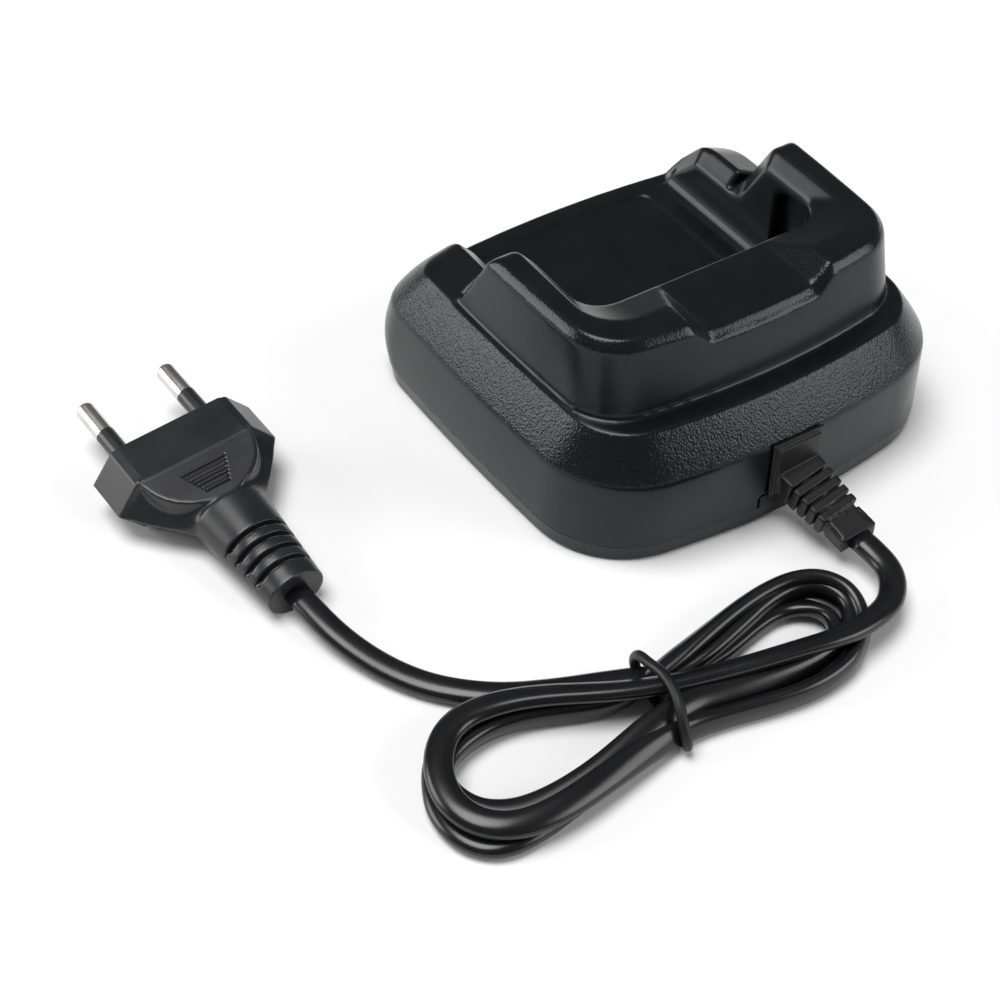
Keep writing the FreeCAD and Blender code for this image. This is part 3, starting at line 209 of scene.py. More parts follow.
def cord_section():
    """Flat two-core section: an oval with fuller shoulders, as a FULLNESS above 2 gives."""
    points = []
    for across, up in around(SECTION_POINTS):
        reach = (abs(across) ** FULLNESS + abs(up) ** FULLNESS) ** (-1 / FULLNESS)
        points.append((CORD_WIDTH / 2 * reach * across, CORD_THICK / 2 * reach * up))
    return points


def swept(line, turns, section):
    """Skin of a section carried along an open line, turned about it by the given degrees."""
    last = len(line) - 1
    rings = []
    for i, point in enumerate(line):
        way = (line[min(i + 1, last)] - line[max(i - 1, 0)]).normalized()
        flat_side = way.cross(Vector((0, 0, 1))).normalized()
        lift = flat_side.cross(way)
        turn = math.radians(turns[i])
        wide = flat_side * math.cos(turn) + lift * math.sin(turn)
        thick = lift * math.cos(turn) - flat_side * math.sin(turn)
        rings.append([point + wide * x + thick * y for x, y in section])
    return loft(rings)


def add_cord():
    line = nurbs_line([Vector(point[:3]) * MM for point in ROUTE])
    turns = [point.x for point in nurbs_line([(point[3], 0, 0) for point in ROUTE])]
    radius = CORD_THICK / 2
    for point, turn in zip(line, turns):
        rise = (CORD_WIDTH / 2 - radius) * abs(math.sin(math.radians(turn)))
        point.z = max(point.z, radius + rise)
    cord = smooth_piece("cord", swept(line, turns, cord_section()))
    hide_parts("cord_charger_end", "cord_hank", "cord_plug_end")
    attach(cord, "charger")
    cord.data.materials.append(MATERIALS["cord_black"])


# Tie round the waist of the hank, in millimetres

TIE_LINE = [
    (51.2, 67.2, 8.6), (50.9, 70.8, 9.5), (51.4, 74.4, 9.7), (52.4, 77.8, 9.2), (53.4, 80.6, 7.4),
    (53.8, 82.4, 4.8), (53.4, 82.6, 2.4), (52.4, 80.8, 1.1), (51.8, 76.0, 1.1), (51.0, 69.0, 1.1),
    (50.6, 64.6, 1.2), (50.5, 62.7, 2.6), (50.7, 62.4, 5.2), (50.9, 64.0, 7.6),
]
TIE_RADIUS = 1.0 * MM
TIE_POINTS = 12


def swept_round(line, radius):
    """Round closed tube whose section never twists, for a line that climbs steeply."""
    rings = []
    side = Vector((1, 0, 0))
    spots = [(radius * c, radius * s) for c, s in around(TIE_POINTS)]
    for i, point in enumerate(line):
        way = (line[(i + 1) % len(line)] - line[i - 1]).normalized()
        lift = way.cross(side).normalized()
        across = lift.cross(way)
        rings.append([point + across * x + lift * y for x, y in spots])
    return loft(rings, closed=True)


def add_tie():
    line = nurbs_line([Vector(point) * MM for point in TIE_LINE], closed=True)
    tie = smooth_piece("tie", swept_round(line, TIE_RADIUS))
    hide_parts("cord_tie")
    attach(tie, "charger")
    tie.data.materials.append(MATERIALS["relief_black"])


# Materials


def new_material(name):
    material = bpy.data.materials.new(name)
    material.use_nodes = True
    return material, material.node_tree


def place_of(tree):
    """Coordinates that move with the piece, in metres."""
    return tree.nodes.new("ShaderNodeTexCoord").outputs["Object"]


def split(tree, vector):
    """X, Y and Z of a vector."""
    node = tree.nodes.new("ShaderNodeSeparateXYZ")
    tree.links.new(vector, node.inputs["Vector"])
    return node.outputs["X"], node.outputs["Y"], node.outputs["Z"]


def noise(tree, size, detail=3.0):
    """Noise whose features are about this many metres across."""
    node = tree.nodes.new("ShaderNodeTexNoise")
    node.inputs["Scale"].default_value = 1.0 / size
    node.inputs["Detail"].default_value = detail
    tree.links.new(place_of(tree), node.inputs["Vector"])
    return node.outputs["Fac"]


def spread(tree, value, low, high, start=0.3, end=0.7):
    """The value mapped from start..end to low..high."""
    node = tree.nodes.new("ShaderNodeMapRange")
    node.inputs["From Min"].default_value = start
    node.inputs["From Max"].default_value = end
    node.inputs["To Min"].default_value = low
    node.inputs["To Max"].default_value = high
    tree.links.new(value, node.inputs["Value"])
    return node.outputs["Result"]


def rising(tree, value, span):
    """0 below the span, 1 above it."""
    return spread(tree, value, 0.0, 1.0, *span)


def falling(tree, value, span):
    """1 below the span, 0 above it."""
    return spread(tree, value, 1.0, 0.0, *span)


def calc(tree, operation, *values):
    """One maths node, fed with numbers and sockets."""
    node = tree.nodes.new("ShaderNodeMath")
    node.operation = operation
    for socket, value in zip(node.inputs, values):
        if isinstance(value, (int, float)):
            socket.default_value = value
        else:
            tree.links.new(value, socket)
    return node.outputs["Value"]


def joined(tree, operation, first, *others):
    """Values joined one after another by the same operation."""
    for other in others:
        first = calc(tree, operation, first, other)
    return first


def blend_colour(tree, factor, first, second):
    node = tree.nodes.new("ShaderNodeMix")
    node.data_type = "RGBA"
    tree.links.new(factor, node.inputs["Factor"])
    for socket, value in zip((node.inputs["A"], node.inputs["B"]), (first, second)):
        if isinstance(value, tuple):
            socket.default_value = (*value, 1.0)
        else:
            tree.links.new(value, socket)
    return node.outputs["Result"]


def bump(tree, height, strength, depth):
    node = tree.nodes.new("ShaderNodeBump")
    node.inputs["Strength"].default_value = strength
    node.inputs["Distance"].default_value = depth
    tree.links.new(height, node.inputs["Height"])
    return node.outputs["Normal"]


# Sizes of what makes a moulded surface uneven, in grains, and how far its gloss wanders
TONE_PATCH = 18
GLOSS_PATCH = 30
GLOSS_SPAN = (0.82, 1.18)
GRAIN_DEPTH = 0.25


def moulded(name, dark, light, rough, grain, strength, specular=0.5, metal=0.0):
    """Moulded or drawn surface: two close tones, uneven gloss and a fine grain."""
    material, tree = new_material(name)
    shader = tree.nodes["Principled BSDF"]
    shader.inputs["Metallic"].default_value = metal
    shader.inputs["Specular IOR Level"].default_value = specular
    grain = grain * MM
    tone = spread(tree, noise(tree, grain * TONE_PATCH), 0.0, 1.0)
    tree.links.new(blend_colour(tree, tone, dark, light), shader.inputs["Base Color"])
    low, high = GLOSS_SPAN
    gloss = spread(tree, noise(tree, grain * GLOSS_PATCH, 4.0), rough * low, rough * high)
    tree.links.new(gloss, shader.inputs["Roughness"])
    normal = bump(tree, noise(tree, grain), strength, grain * GRAIN_DEPTH)
    tree.links.new(normal, shader.inputs["Normal"])
    return material


# Dark and light tone, roughness, grain in millimetres and its strength, and where they aren't
# the usual ones also the specular level and the metallic share
FINISHES = {
    "cord_black": ((0.0045, 0.0047, 0.0054), (0.0075, 0.0078, 0.0088), 0.25, 0.5, 0.06),
    "relief_black": ((0.0050, 0.0053, 0.0060), (0.0090, 0.0094, 0.0105), 0.42, 0.35, 0.35, 0.35),
    "plug_black": ((0.0110, 0.0115, 0.0130), (0.0175, 0.0182, 0.0202), 0.31, 0.4, 0.16),
    "foot_rubber": ((0.03, 0.03, 0.031), (0.05, 0.05, 0.052), 0.85, 0.3, 0.4),
    "steel": ((0.42, 0.42, 0.43), (0.56, 0.56, 0.57), 0.34, 0.2, 0.15, 0.5, 1.0),
    "nickel": ((0.62, 0.60, 0.56), (0.74, 0.72, 0.68), 0.24, 0.3, 0.08, 0.5, 1.0),
    "contact_gold": ((0.78, 0.52, 0.18), (0.90, 0.66, 0.28), 0.28, 0.3, 0.08, 0.5, 1.0),
    "board_green": ((0.010, 0.09, 0.035), (0.018, 0.13, 0.05), 0.38, 0.5, 0.12),
    "ferrite": ((0.035, 0.034, 0.036), (0.06, 0.058, 0.06), 0.6, 0.3, 0.3),
    "bobbin_resin": ((0.02, 0.02, 0.022), (0.035, 0.035, 0.037), 0.45, 0.4, 0.15),
    "winding_tape": ((0.68, 0.48, 0.05), (0.80, 0.60, 0.09), 0.42, 0.9, 0.15),
    "component_black": ((0.015, 0.015, 0.016), (0.03, 0.03, 0.031), 0.5, 0.3, 0.2),
    "component_blue": ((0.02, 0.08, 0.30), (0.04, 0.12, 0.40), 0.35, 0.5, 0.1),
    "clear_plastic": ((0.60, 0.62, 0.62), (0.75, 0.77, 0.77), 0.25, 0.5, 0.08),
    "resistor_chip": ((0.03, 0.03, 0.032), (0.07, 0.07, 0.072), 0.4, 0.3, 0.15),
    "lead_red": ((0.42, 0.03, 0.02), (0.55, 0.05, 0.035), 0.4, 0.4, 0.1),
    "lead_blue": ((0.04, 0.10, 0.40), (0.06, 0.14, 0.50), 0.4, 0.4, 0.1),
}

# Case: where its grain fades in or out, by place or by a component of the normal. Inward is the
# distance to the side times the sideways component
BAND_EDGE = (19.6 * MM, 19.6 * MM + 0.15 * MM)
TOPS_EDGE = (28.3 * MM, 28.3 * MM + 0.2 * MM)
LEDGE = 29.0 * MM
LEDGE_REACH = 1.2 * MM
GRAINED_SLOPE = (0.22, 0.34)
LEVEL_SLOPE = (0.86, 0.97)
FRONT_FACING = (-0.45, -0.30)
FRONT_WALL = (-39.0 * MM, -37.0 * MM)
INWARD_FACING = (-5 * MM, -2 * MM)
REAR_WALL = (12.0 * MM, 14.0 * MM)
# Case: sizes of the grain and of what else is uneven
GRAIN_SIZE = 0.44 * MM
RIPPLE_SIZE = 7.0 * MM
TONE_SIZE = 9.0 * MM
GLOSS_SIZE = 6.0 * MM
RIPPLE_SHARE = 0.10
GRAIN_ON_TOPS = 0.45
RELIEF_DEPTH = 0.12 * MM
# Case: roughness of the plain and of the grained plastic, and how far either wanders
PLAIN_ROUGH = 0.24
GRAINED_ROUGH = 0.20
ROUGH_WANDER = 0.025
CASE_SPECULAR = 0.32
CASE_TINT = (0.90, 0.96, 1.0, 1.0)
PLAIN_TONES = ((0.0050, 0.0052, 0.0062), (0.0072, 0.0075, 0.0088))
GRAINED_TONES = ((0.0050, 0.0052, 0.0060), (0.0105, 0.0110, 0.0125))


def grain_mask(tree):
    """Two masks: the grain on band, rims and bevels, and all that lies above the band."""
    x, y, height = split(tree, place_of(tree))
    geometry = tree.nodes.new("ShaderNodeNewGeometry")
    facing_x, facing_y, facing_up = split(tree, geometry.outputs["Normal"])
    slope = rising(tree, facing_up, GRAINED_SLOPE)
    above_band = rising(tree, height, BAND_EDGE)
    is_top = rising(tree, height, TOPS_EDGE)
    looks_front = falling(tree, facing_y, FRONT_FACING)
    behind_front = rising(tree, y, FRONT_WALL)
    into_pocket = joined(tree, "MULTIPLY", is_top, looks_front, behind_front)
    inward = falling(tree, calc(tree, "MULTIPLY", x, facing_x), INWARD_FACING)
    inward = calc(tree, "MULTIPLY", inward, falling(tree, y, REAR_WALL))
    level = rising(tree, facing_up, LEVEL_SLOPE)
    on_ledge = calc(tree, "COMPARE", height, LEDGE, LEDGE_REACH)
    smooth = joined(tree, "MAXIMUM", into_pocket, inward, level, on_ledge)
    not_smooth = calc(tree, "SUBTRACT", 1.0, smooth)
    return joined(tree, "MULTIPLY", slope, above_band, not_smooth), is_top


def case_plastic():
    """Black case: satin walls, and spark-eroded grain on the band, rims and bevels."""
    material, tree = new_material("case_black")
    shader = tree.nodes["Principled BSDF"]
    shader.inputs["Specular IOR Level"].default_value = CASE_SPECULAR
    shader.inputs["Specular Tint"].default_value = CASE_TINT
    grained, is_top = grain_mask(tree)
    fine = noise(tree, GRAIN_SIZE, 1.0)
    weaker_on_tops = spread(tree, is_top, 1.0, GRAIN_ON_TOPS, 0.0, 1.0)
    relief = joined(tree, "MULTIPLY", fine, grained, weaker_on_tops)
    ripple = calc(tree, "MULTIPLY", noise(tree, RIPPLE_SIZE, 2.0), RIPPLE_SHARE)
    normal = bump(tree, calc(tree, "ADD", relief, ripple), 1.0, RELIEF_DEPTH)
    tree.links.new(normal, shader.inputs["Normal"])
    tone = spread(tree, noise(tree, TONE_SIZE), 0.0, 1.0)
    plain = blend_colour(tree, tone, *PLAIN_TONES)
    pitted = blend_colour(tree, fine, *GRAINED_TONES)
    tree.links.new(blend_colour(tree, grained, plain, pitted), shader.inputs["Base Color"])
    uneven = spread(tree, noise(tree, GLOSS_SIZE, 4.0), -ROUGH_WANDER, ROUGH_WANDER)
    rough = spread(tree, grained, PLAIN_ROUGH, GRAINED_ROUGH, 0.0, 1.0)
    tree.links.new(calc(tree, "ADD", rough, uneven), shader.inputs["Roughness"])
    return material


MATERIALS = {"case_black": case_plastic()}
for finish_name, finish_values in FINISHES.items():
    MATERIALS[finish_name] = moulded(finish_name, *finish_values)
FINISH_OF = {
    "strain_relief": "relief_black",
    "plug_body": "plug_black",
    "plug_pin_sleeves": "plug_black",
}


def dress_nodes():
    """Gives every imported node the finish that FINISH_OF has for it, or the one of its slot."""
    for name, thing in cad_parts.items():
        slots = [material.name for material in thing.data.materials if material]
        finish = FINISH_OF.get(name)
        if not finish:
            finish = next(key for key in MATERIALS if slots and slots[0].startswith(key))
        thing.data.materials.clear()
        thing.data.materials.append(MATERIALS[finish])


# Mouldings with rounded edges

RELAX_STEP = 0.5


def block(half_x, half_z, y0, y1, middle_z=0.0):
    spots = ((half_x, half_z), (half_x, -half_z), (-half_x, -half_z), (-half_x, half_z))
    return loft([[(x, y, middle_z + z) for x, z in spots] for y in (y0, y1)])


def melted(name, skins, voxel):
    """One piece made from overlapping closed skins, which are given in millimetres."""
    corners = []
    faces = []
    for more, joins in skins:
        faces.extend(tuple(len(corners) + i for i in join) for join in joins)
        corners.extend(more)
    mesh = bpy.data.meshes.new(name)
    mesh.from_pydata([Vector(corner) * MM for corner in corners], [], faces)
    return remeshed(name, mesh, voxel)


def remeshed(name, mesh, voxel):
    piece = add_object(name, mesh)
    remesh = piece.modifiers.new("remesh", "REMESH")
    remesh.mode = "VOXEL"
    remesh.voxel_size = voxel
    shaped = piece.evaluated_get(bpy.context.evaluated_depsgraph_get())
    piece.data = bpy.data.meshes.new_from_object(shaped)
    piece.modifiers.clear()
    bpy.data.meshes.remove(mesh)
    return piece


def finish_moulding(piece, node, material):
    mesh = piece.data
    mesh.polygons.foreach_set("use_smooth", [True] * len(mesh.polygons))
    mesh.materials.clear()
    mesh.materials.append(MATERIALS[material])
    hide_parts(node)
    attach(piece, "charger")


def places(mesh):
    """Where the vertices are, one row each."""
    place = np.empty(len(mesh.vertices) * 3)
    mesh.vertices.foreach_get("co", place)
    return place.reshape(-1, 3)


def put(mesh, place):
    mesh.vertices.foreach_set("co", place.ravel())
    mesh.update()


def ramp(values, start, end):
    return np.clip((values - start) / (end - start), 0.0, 1.0)


def relax(mesh, weights, rounds):
    """Moves each vertex towards the middle of its neighbours, as far as its weight allows."""
    count = len(mesh.vertices)
    place = places(mesh)
    ends = np.empty(len(mesh.edges) * 2, dtype=np.int64)
    mesh.edges.foreach_get("vertices", ends)
    first, second = ends.reshape(-1, 2).T
    links = np.bincount(first, minlength=count) + np.bincount(second, minlength=count)
    for _ in range(rounds):
        for axis in range(3):
            along = place[:, axis]
            total = np.bincount(first, along[second], count)
            total = total + np.bincount(second, along[first], count)
            place[:, axis] = along + RELAX_STEP * weights * (total / links - along)
    put(mesh, place)
    return place


# Top cover

VOXEL = 0.45 * MM
PARTING = 4.0 * MM
SKIRT_TOP = PARTING + 0.3 * MM
SKIRT_EXTRA = 3.0 * MM
ROUNDS_ALL_OVER = 3
ROUNDS_AT_TOP = 4
TOP_SPAN = (28.5 * MM, 31.0 * MM)
ON_PARTING = 0.01 * MM
MERGED = 0.05 * MM
SPECK = 0.005 * MM
# What stays crisp: the parting edge, the holes of contacts and light, and the cord's slot
EDGE_SPAN = (PARTING + 1.0 * MM, PARTING + 4.0 * MM)
HOLE_SPAN = (2.2 * MM, 3.4 * MM)
CONTACT_SPOTS = ((7.5 * MM, 8.9 * MM), (-7.5 * MM, 8.9 * MM))
LIGHT_HEIGHT = 11.1 * MM
LIGHT_REAR = -36 * MM
STEEP = 50
SLOT_HALF = 6.5 * MM
SLOT_FRONT = 42 * MM
SLOT_TOP = 18 * MM
SLOT_FADE = 1.5 * MM
# The slanting band, outside a rectangle of this half width and half depth in millimetres
BAND_HALF_WIDTH = 35
BAND_HALF_DEPTH = 30
BAND_SLOPE = 0.3
BAND_MIDDLE = 23.85 * MM
BAND_REACH = 4.4 * MM
BAND_CROWN = 0.25 * MM


def crisp_spots(place):
    """Zero at the holes, the cord's slot and the parting edge, one elsewhere."""
    x, y, z = place.T
    weights = ramp(z, *EDGE_SPAN)
    for spot_x, spot_y in CONTACT_SPOTS:
        weights = weights * ramp(np.hypot(x - spot_x, y - spot_y), *HOLE_SPAN)
    at_light = np.maximum(np.hypot(x, z - LIGHT_HEIGHT), STEEP * (y - LIGHT_REAR))
    weights = weights * ramp(at_light, *HOLE_SPAN)
    at_slot = np.maximum(np.abs(x) - SLOT_HALF, SLOT_FRONT - y)
    at_slot = np.maximum(at_slot, z - SLOT_TOP)
    return weights * ramp(at_slot, 0.0, SLOT_FADE)


def swell_band(mesh):
    """Slight crown on the slanting band."""
    place = places(mesh)
    facing = np.empty(len(place) * 3)
    mesh.vertices.foreach_get("normal", facing)
    facing = facing.reshape(-1, 3)
    x, y, z = place.T
    outward = facing[:, 0] * x + facing[:, 1] * y > 0
    outside = np.maximum(np.abs(x) / BAND_HALF_WIDTH, np.abs(y) / BAND_HALF_DEPTH) > MM
    band = outward & (facing[:, 2] > BAND_SLOPE) & outside
    crown = np.clip(1 - ((z - BAND_MIDDLE) / BAND_REACH) ** 2, 0, 1) * BAND_CROWN * band
    place[:, :2] += facing[:, :2] * crown[:, None]
    put(mesh, place)


def flatten_parting(mesh):
    """Pushes what hangs under the parting plane up to it, and merges what then lies close."""
    work = bmesh.new()
    work.from_mesh(mesh)
    for vertex in work.verts:
        vertex.co.z = max(vertex.co.z, PARTING)
    low = [vertex for vertex in work.verts if vertex.co.z < PARTING + ON_PARTING]
    bmesh.ops.remove_doubles(work, verts=low, dist=MERGED)
    bmesh.ops.dissolve_degenerate(work, edges=work.edges[:], dist=SPECK)
    work.to_mesh(mesh)
    work.free()


def add_cover():
    """The cover remeshed with a longer skirt, so that its parting edge isn't rounded."""
    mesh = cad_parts["top_cover"].data.copy()
    mesh.materials.clear()
    for vertex in mesh.vertices:
        if vertex.co.z < SKIRT_TOP:
            vertex.co.z -= SKIRT_EXTRA
    cover = remeshed("cover", mesh, VOXEL)
    mesh = cover.data
    weights = crisp_spots(places(mesh))
    place = relax(mesh, weights, ROUNDS_ALL_OVER)
    relax(mesh, weights * ramp(place[:, 2], *TOP_SPAN), ROUNDS_AT_TOP)
    swell_band(mesh)
    flatten_parting(mesh)
    finish_moulding(cover, "top_cover", "case_black")


# Plug in its own frame: X along the pins' row, Y towards the cord. Its skins are in
# millimetres, and what works on the finished mesh is in metres

PLUG_PLACE = (
    Matrix.Translation(Vector((96.9, -29.7, 7.97)) * MM)
    @ Matrix.Rotation(math.radians(3.6), 4, "Z")
    @ Matrix.Rotation(math.radians(-4.0), 4, "X")
    @ Matrix.Rotation(math.radians(3.0), 4, "Y")
)
PLUG_VOXEL = 0.2 * MM
PLUG_ROUNDS = 3
RING_POINTS = 72
TINY = 1e-6
# Block: half its width, half the width of its top and half its height
BLOCK_WIDE = 17.65
BLOCK_TOP = 12.5
BLOCK_HIGH = 6.6
# Shoulder: what it loses on its way from the block to the oval that it ends in
SHOULDER_START = 10.2
SHOULDER_END = 22.6
SHOULDER_STEPS = 12
SHOULDER_NARROWS = 9.95
SHOULDER_SWELLS = 2.6
SHOULDER_TOP_NARROWS = 8.5
SHOULDER_TOP_POWER = 0.6
SHOULDER_LOWERS = 1.6
SHOULDER_MELTS = 0.98
SHOULDER_OVAL = (7.7, 5.2)
SCOOP_START = (11.0 * MM, 12.5 * MM)
SCOOP_END = (22.0 * MM, 23.0 * MM)
SCOOP_ROUNDS = 30
# Pads: side, height of the tip, half width, and length past the start of the shoulder
PADS = ((1, 5.2, 12.3, 11.2), (-1, 4.6, 10.4, 9.4))
PAD_POINTS = 48
PAD_START = 9.6
PAD_HIGH = 6.55
PAD_EDGE = (0.91 * MM, 1.05 * MM)
BESIDE_PADS = 4 * MM
# Lines across the pads
LINE_COUNT = 7
LINE_START = 13.3
LINE_PITCH = 0.88
LINE_HALF_WIDTH = 0.28 * MM
LINE_SIDE_FADE = 0.08 * MM
LINE_HALF_LENGTH = 4.9
LINE_SHORTENS = 0.38
LINE_END_FADE = 0.2 * MM
LINE_DEPTH = 0.65 * MM
LINES_ABOVE = 3 * MM
# Neck: half its width and half its height, with its slots
NECK_START = 21.8
NECK_END = 45.4
NECK_WIDE = 7.8
NECK_NARROWS = 1.8
NECK_HIGH = 6.4
NECK_LOWERS = 1.6
SLOTS = [(31.2 + 3.1 * i, 32.4 + 3.1 * i) for i in range(4)]
SLOT_DEPTH = 1.4
CORE_ENDS = (NECK_START - 3.0, NECK_END - 0.5)
WEB_HIGH = 1.7
WEB_ENDS = (30.0, 43.0)


def six_sided(half, half_top, height):
    lean = (half - half_top) / height
    return lambda c, s: min(height / max(s, TINY), half / (c + lean * s))


def oval(wide, high):
    return lambda c, s: 1 / math.hypot(c / wide, s / high)


def between(first, second, mix):
    return lambda c, s: (1 - mix) * first(c, s) + mix * second(c, s)


def ring(reach, y):
    """Points at the given reach from the axis in each direction."""
    spots = []
    for c, s in around(RING_POINTS):
        r = reach(abs(c), abs(s))
        spots.append((r * c, y, r * s))
    return spots


def shoulder():
    """From the six-sided block to the oval neck, swelling a little on the way."""
    rings = []
    for i in range(SHOULDER_STEPS + 1):
        t = i / SHOULDER_STEPS
        wide = BLOCK_WIDE - SHOULDER_NARROWS * t + SHOULDER_SWELLS * t * (1 - t)
        mix = SHOULDER_MELTS * t * t
        half = (wide - SHOULDER_OVAL[0] * mix) / (1 - mix)
        half_top = BLOCK_TOP - SHOULDER_TOP_NARROWS * t ** SHOULDER_TOP_POWER
        height = BLOCK_HIGH - SHOULDER_LOWERS * math.sin(math.pi * t / 2)
        reach = between(six_sided(half, half_top, height), oval(*SHOULDER_OVAL), mix)
        rings.append(ring(reach, SHOULDER_START + (SHOULDER_END - SHOULDER_START) * t))
    return loft(rings)


def pad(side, tip, half, length):
    """Grip pad, flush with the block and falling along the shoulder to a round tip."""
    half_turn = around(PAD_POINTS)[:PAD_POINTS // 2 + 1]
    arc = [(half * c, SHOULDER_START + length * s) for c, s in half_turn]
    plan = [(half, PAD_START)] + arc + [(-half, PAD_START)]
    fall = (tip - BLOCK_HIGH) / length
    heights = [min(PAD_HIGH, BLOCK_HIGH + fall * (y - SHOULDER_START)) for x, y in plan]
    top = [(x, y, side * height) for (x, y), height in zip(plan, heights)]
    return loft([[(x, y, 0.0) for x, y in plan], top])


def neck_oval(y, less=0.0):
    t = (y - NECK_START) / (NECK_END - NECK_START)
    return oval(NECK_WIDE - NECK_NARROWS * t - less, NECK_HIGH - NECK_LOWERS * t - less)


def web_ring(y):
    reach = neck_oval(y)
    return ring(lambda c, s: min(reach(c, s), WEB_HIGH / max(s, TINY)), y)


def neck():
    """Slices between the slots, the core that joins them, and the web along both sides."""
    starts = [NECK_START] + [end for start, end in SLOTS]
    ends = [start for start, end in SLOTS] + [NECK_END]
    skins = [loft([ring(neck_oval(y), y) for y in slice_ends]) for slice_ends in zip(starts, ends)]
    skins.append(loft([ring(neck_oval(y, SLOT_DEPTH), y) for y in CORE_ENDS]))
    skins.append(loft([web_ring(y) for y in WEB_ENDS]))
    return skins


def hollow_shoulders(mesh, place):
    """Softens the shoulders beside the pads, so that the pads stand out from them."""
    x, y, z = place.T
    scoop = ramp(y, *SCOOP_START) * (1 - ramp(y, *SCOOP_END))
    _, _, wide, length = PADS[0]
    off_pad = ramp(np.hypot(x / wide, (y - SHOULDER_START * MM) / length), *PAD_EDGE)
    off_pad[np.abs(z) < BESIDE_PADS] = 1.0
    return relax(mesh, scoop * off_pad, SCOOP_ROUNDS)


def cut_grip_lines(mesh, place):
    """Shallow lines across each pad."""
    x, y, z = place.T
    for i in range(LINE_COUNT):
        off_line = np.abs(y - (LINE_START + LINE_PITCH * i) * MM)
        near = np.clip((LINE_HALF_WIDTH - off_line) / LINE_SIDE_FADE, 0, 1)
        half_length = (LINE_HALF_LENGTH - LINE_SHORTENS * i) * MM
        inside = np.clip((half_length - np.abs(x)) / LINE_END_FADE, 0, 1)
        place[:, 2] -= np.sign(z) * LINE_DEPTH * near * inside * (np.abs(z) > LINES_ABOVE)
    put(mesh, place)


def add_plug_body():
    reach = six_sided(BLOCK_WIDE, BLOCK_TOP, BLOCK_HIGH)
    body = loft([ring(reach, y) for y in (0.0, SHOULDER_START)])
    skins = [body, shoulder()] + [pad(*sizes) for sizes in PADS] + neck()
    plug = melted("plug_moulding", skins, PLUG_VOXEL)
    mesh = plug.data
    place = relax(mesh, np.ones(len(mesh.vertices)), PLUG_ROUNDS)
    place = hollow_shoulders(mesh, place)
    cut_grip_lines(mesh, place)
    mesh.transform(PLUG_PLACE)
    finish_moulding(plug, "plug_body", "plug_black")


# Strain relief, in millimetres: plates in the part's frame, ribs and end block each in a frame
# of their own with Y along the cord

TAIL_START = Vector((-0.4, 44.7, 10.2))
TAIL_END = Vector((-2.5, 61.4, 5.7))
TAIL_ROLL = 6.0
END_SLOPE = -5.0
END_YAW = 0.6
# Blocks: half width, half height, start and end, and for the plates also their middle height
ROOT = (4.8, 3.0, -0.8, 2.75)
END_BLOCK = (4.15, 1.8, -5.2, 0.1)
PLATES = (
    (6.0, 6.5, 43.8, 44.5, 13.5),
    (5.1, 5.7, 44.0, 45.2, 13.3),
    (3.9, 4.9, 40.6, 44.3, 12.0),
)
# Ribs, each smaller than the one before
RIB_COUNT = 4
RIB_START = 3.1
RIB_PITCH = 2.24
RIB_LENGTH = 1.84
RIB_WIDE = 4.85
RIB_NARROWS = 0.08
RIB_HIGH = 2.85
RIB_LOWERS = 0.16
# Core and web: half width and half height, where both start, and how far each stops short
CORE = (3.5, 1.8)
WEB = (0.55, 2.1)
INSIDE_START = -1.0
CORE_SHORT = 1.0
WEB_SHORT = 5.0
# How far the remeshed relief is softened: the plates less than the tail
RELIEF_VOXEL = 0.16 * MM
RELIEF_ROUNDS = 20
PLATE_SOFTNESS = 0.15
TAIL_SOFTNESS = 0.85
TAIL_SPAN = (45.4 * MM, 46.4 * MM)


def turned(skin, turn):
    corners, faces = skin
    return [turn @ Vector(corner) for corner in corners], faces


def tail_skins():
    way = TAIL_END - TAIL_START
    skins = [block(*ROOT)]
    for i in range(RIB_COUNT):
        start = RIB_START + RIB_PITCH * i
        half_x = RIB_WIDE - RIB_NARROWS * i
        half_z = RIB_HIGH - RIB_LOWERS * i
        skins.append(block(half_x, half_z, start, start + RIB_LENGTH))
    skins.append(block(*CORE, INSIDE_START, way.length - CORE_SHORT))
    skins.append(block(*WEB, INSIDE_START, way.length - WEB_SHORT))
    across = Matrix.Rotation(-math.atan2(way.x, way.y), 4, "Z")
    down = Matrix.Rotation(math.atan2(way.z, math.hypot(way.x, way.y)), 4, "X")
    roll = Matrix.Rotation(math.radians(TAIL_ROLL), 4, "Y")
    turn = Matrix.Translation(TAIL_START) @ across @ down @ roll
    skins = [turned(skin, turn) for skin in skins]
    yaw = Matrix.Rotation(math.radians(END_YAW), 4, "Z")
    level = yaw @ Matrix.Rotation(math.radians(END_SLOPE), 4, "X")
    turn = Matrix.Translation(TAIL_END) @ level @ roll
    skins.append(turned(block(*END_BLOCK), turn))
    return skins


def add_strain_relief():
    skins = tail_skins() + [block(*plate) for plate in PLATES]
    relief = melted("relief_moulding", skins, RELIEF_VOXEL)
    mesh = relief.data
    softer = ramp(places(mesh)[:, 1], *TAIL_SPAN)
    relax(mesh, PLATE_SOFTNESS + TAIL_SOFTNESS * softer, RELIEF_ROUNDS)
    finish_moulding(relief, "strain_relief", "relief_black")


# Springs of the two contacts


def add_springs():
    """Copies of the contact springs, in place of the imported ones."""
    for side in ("left", "right"):
        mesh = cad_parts["contact_spring_" + side].data.copy()
        spring = add_object("spring_" + side, mesh)
        place = places(mesh)
        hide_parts("contact_spring_" + side)
        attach(spring, "charger")
        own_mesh(spring)


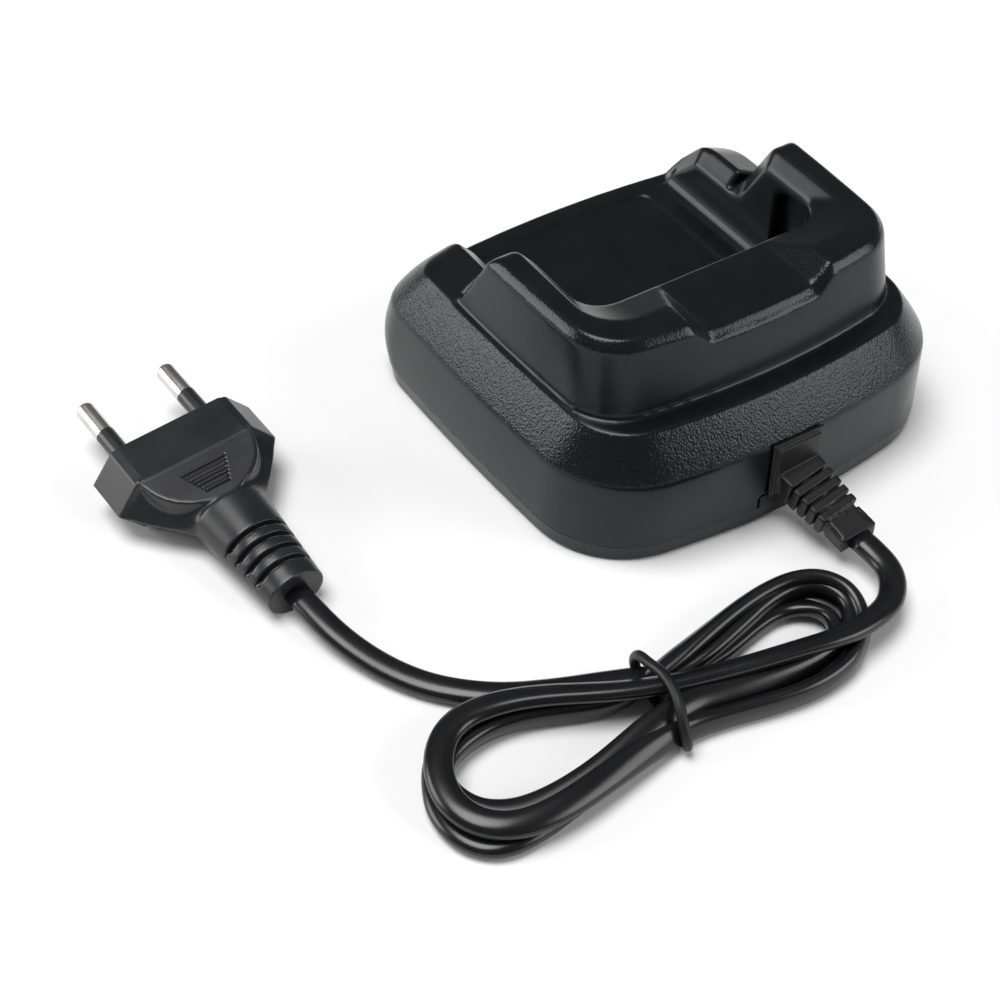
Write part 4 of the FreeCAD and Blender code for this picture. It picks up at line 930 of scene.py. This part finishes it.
# Studio

FLOOR_HALF = 3.0
FLOOR_ROUGH = 0.9
FLOOR_SPECULAR = 0.1
FLOOR_PATCH = 0.25
FLOOR_TONES = ((0.93, 0.93, 0.93), (0.95, 0.95, 0.95))
WORLD_COLOUR = (1.0, 1.0, 1.0, 1.0)
WORLD_STRENGTH = 0.14
# Azimuth and elevation in degrees, strength, and width in degrees
LAMPS = {
    "key": (60, 78, 2.4, 36),
    "left": (48, 19, 1.4, 34),
    "right": (222, 25, 1.25, 36),
}


def floor_material():
    material, tree = new_material("studio_floor")
    shader = tree.nodes["Principled BSDF"]
    shader.inputs["Roughness"].default_value = FLOOR_ROUGH
    shader.inputs["Specular IOR Level"].default_value = FLOOR_SPECULAR
    tone = spread(tree, noise(tree, FLOOR_PATCH), 0.0, 1.0)
    tree.links.new(blend_colour(tree, tone, *FLOOR_TONES), shader.inputs["Base Color"])
    return material


def add_studio():
    half = FLOOR_HALF
    corners = [(-half, -half, 0), (half, -half, 0), (half, half, 0), (-half, half, 0)]
    mesh = bpy.data.meshes.new("floor")
    mesh.from_pydata(corners, [], [(0, 1, 2, 3)])
    floor = add_object("floor", mesh)
    floor.data.materials.append(floor_material())


def add_world():
    world = bpy.data.worlds.new("studio")
    world.use_nodes = True
    background = world.node_tree.nodes["Background"]
    background.inputs["Color"].default_value = WORLD_COLOUR
    background.inputs["Strength"].default_value = WORLD_STRENGTH
    bpy.context.scene.world = world


def add_lamp(name, azimuth, elevation, strength, width):
    """Wide sun that shines from the given side."""
    data = bpy.data.lights.new(name, "SUN")
    data.energy = strength
    data.angle = math.radians(width)
    lamp = add_object(name, data)
    lamp.rotation_euler = bearing(azimuth, elevation).to_track_quat("Z", "Y").to_euler()


dress_nodes()
add_camera()
add_cover()
add_plug_body()
add_strain_relief()
add_cord()
add_tie()
add_springs()
add_studio()
add_world()
for lamp_name, lamp_values in LAMPS.items():
    add_lamp(lamp_name, *lamp_values)
bpy.context.scene.view_settings.view_transform = "Standard"
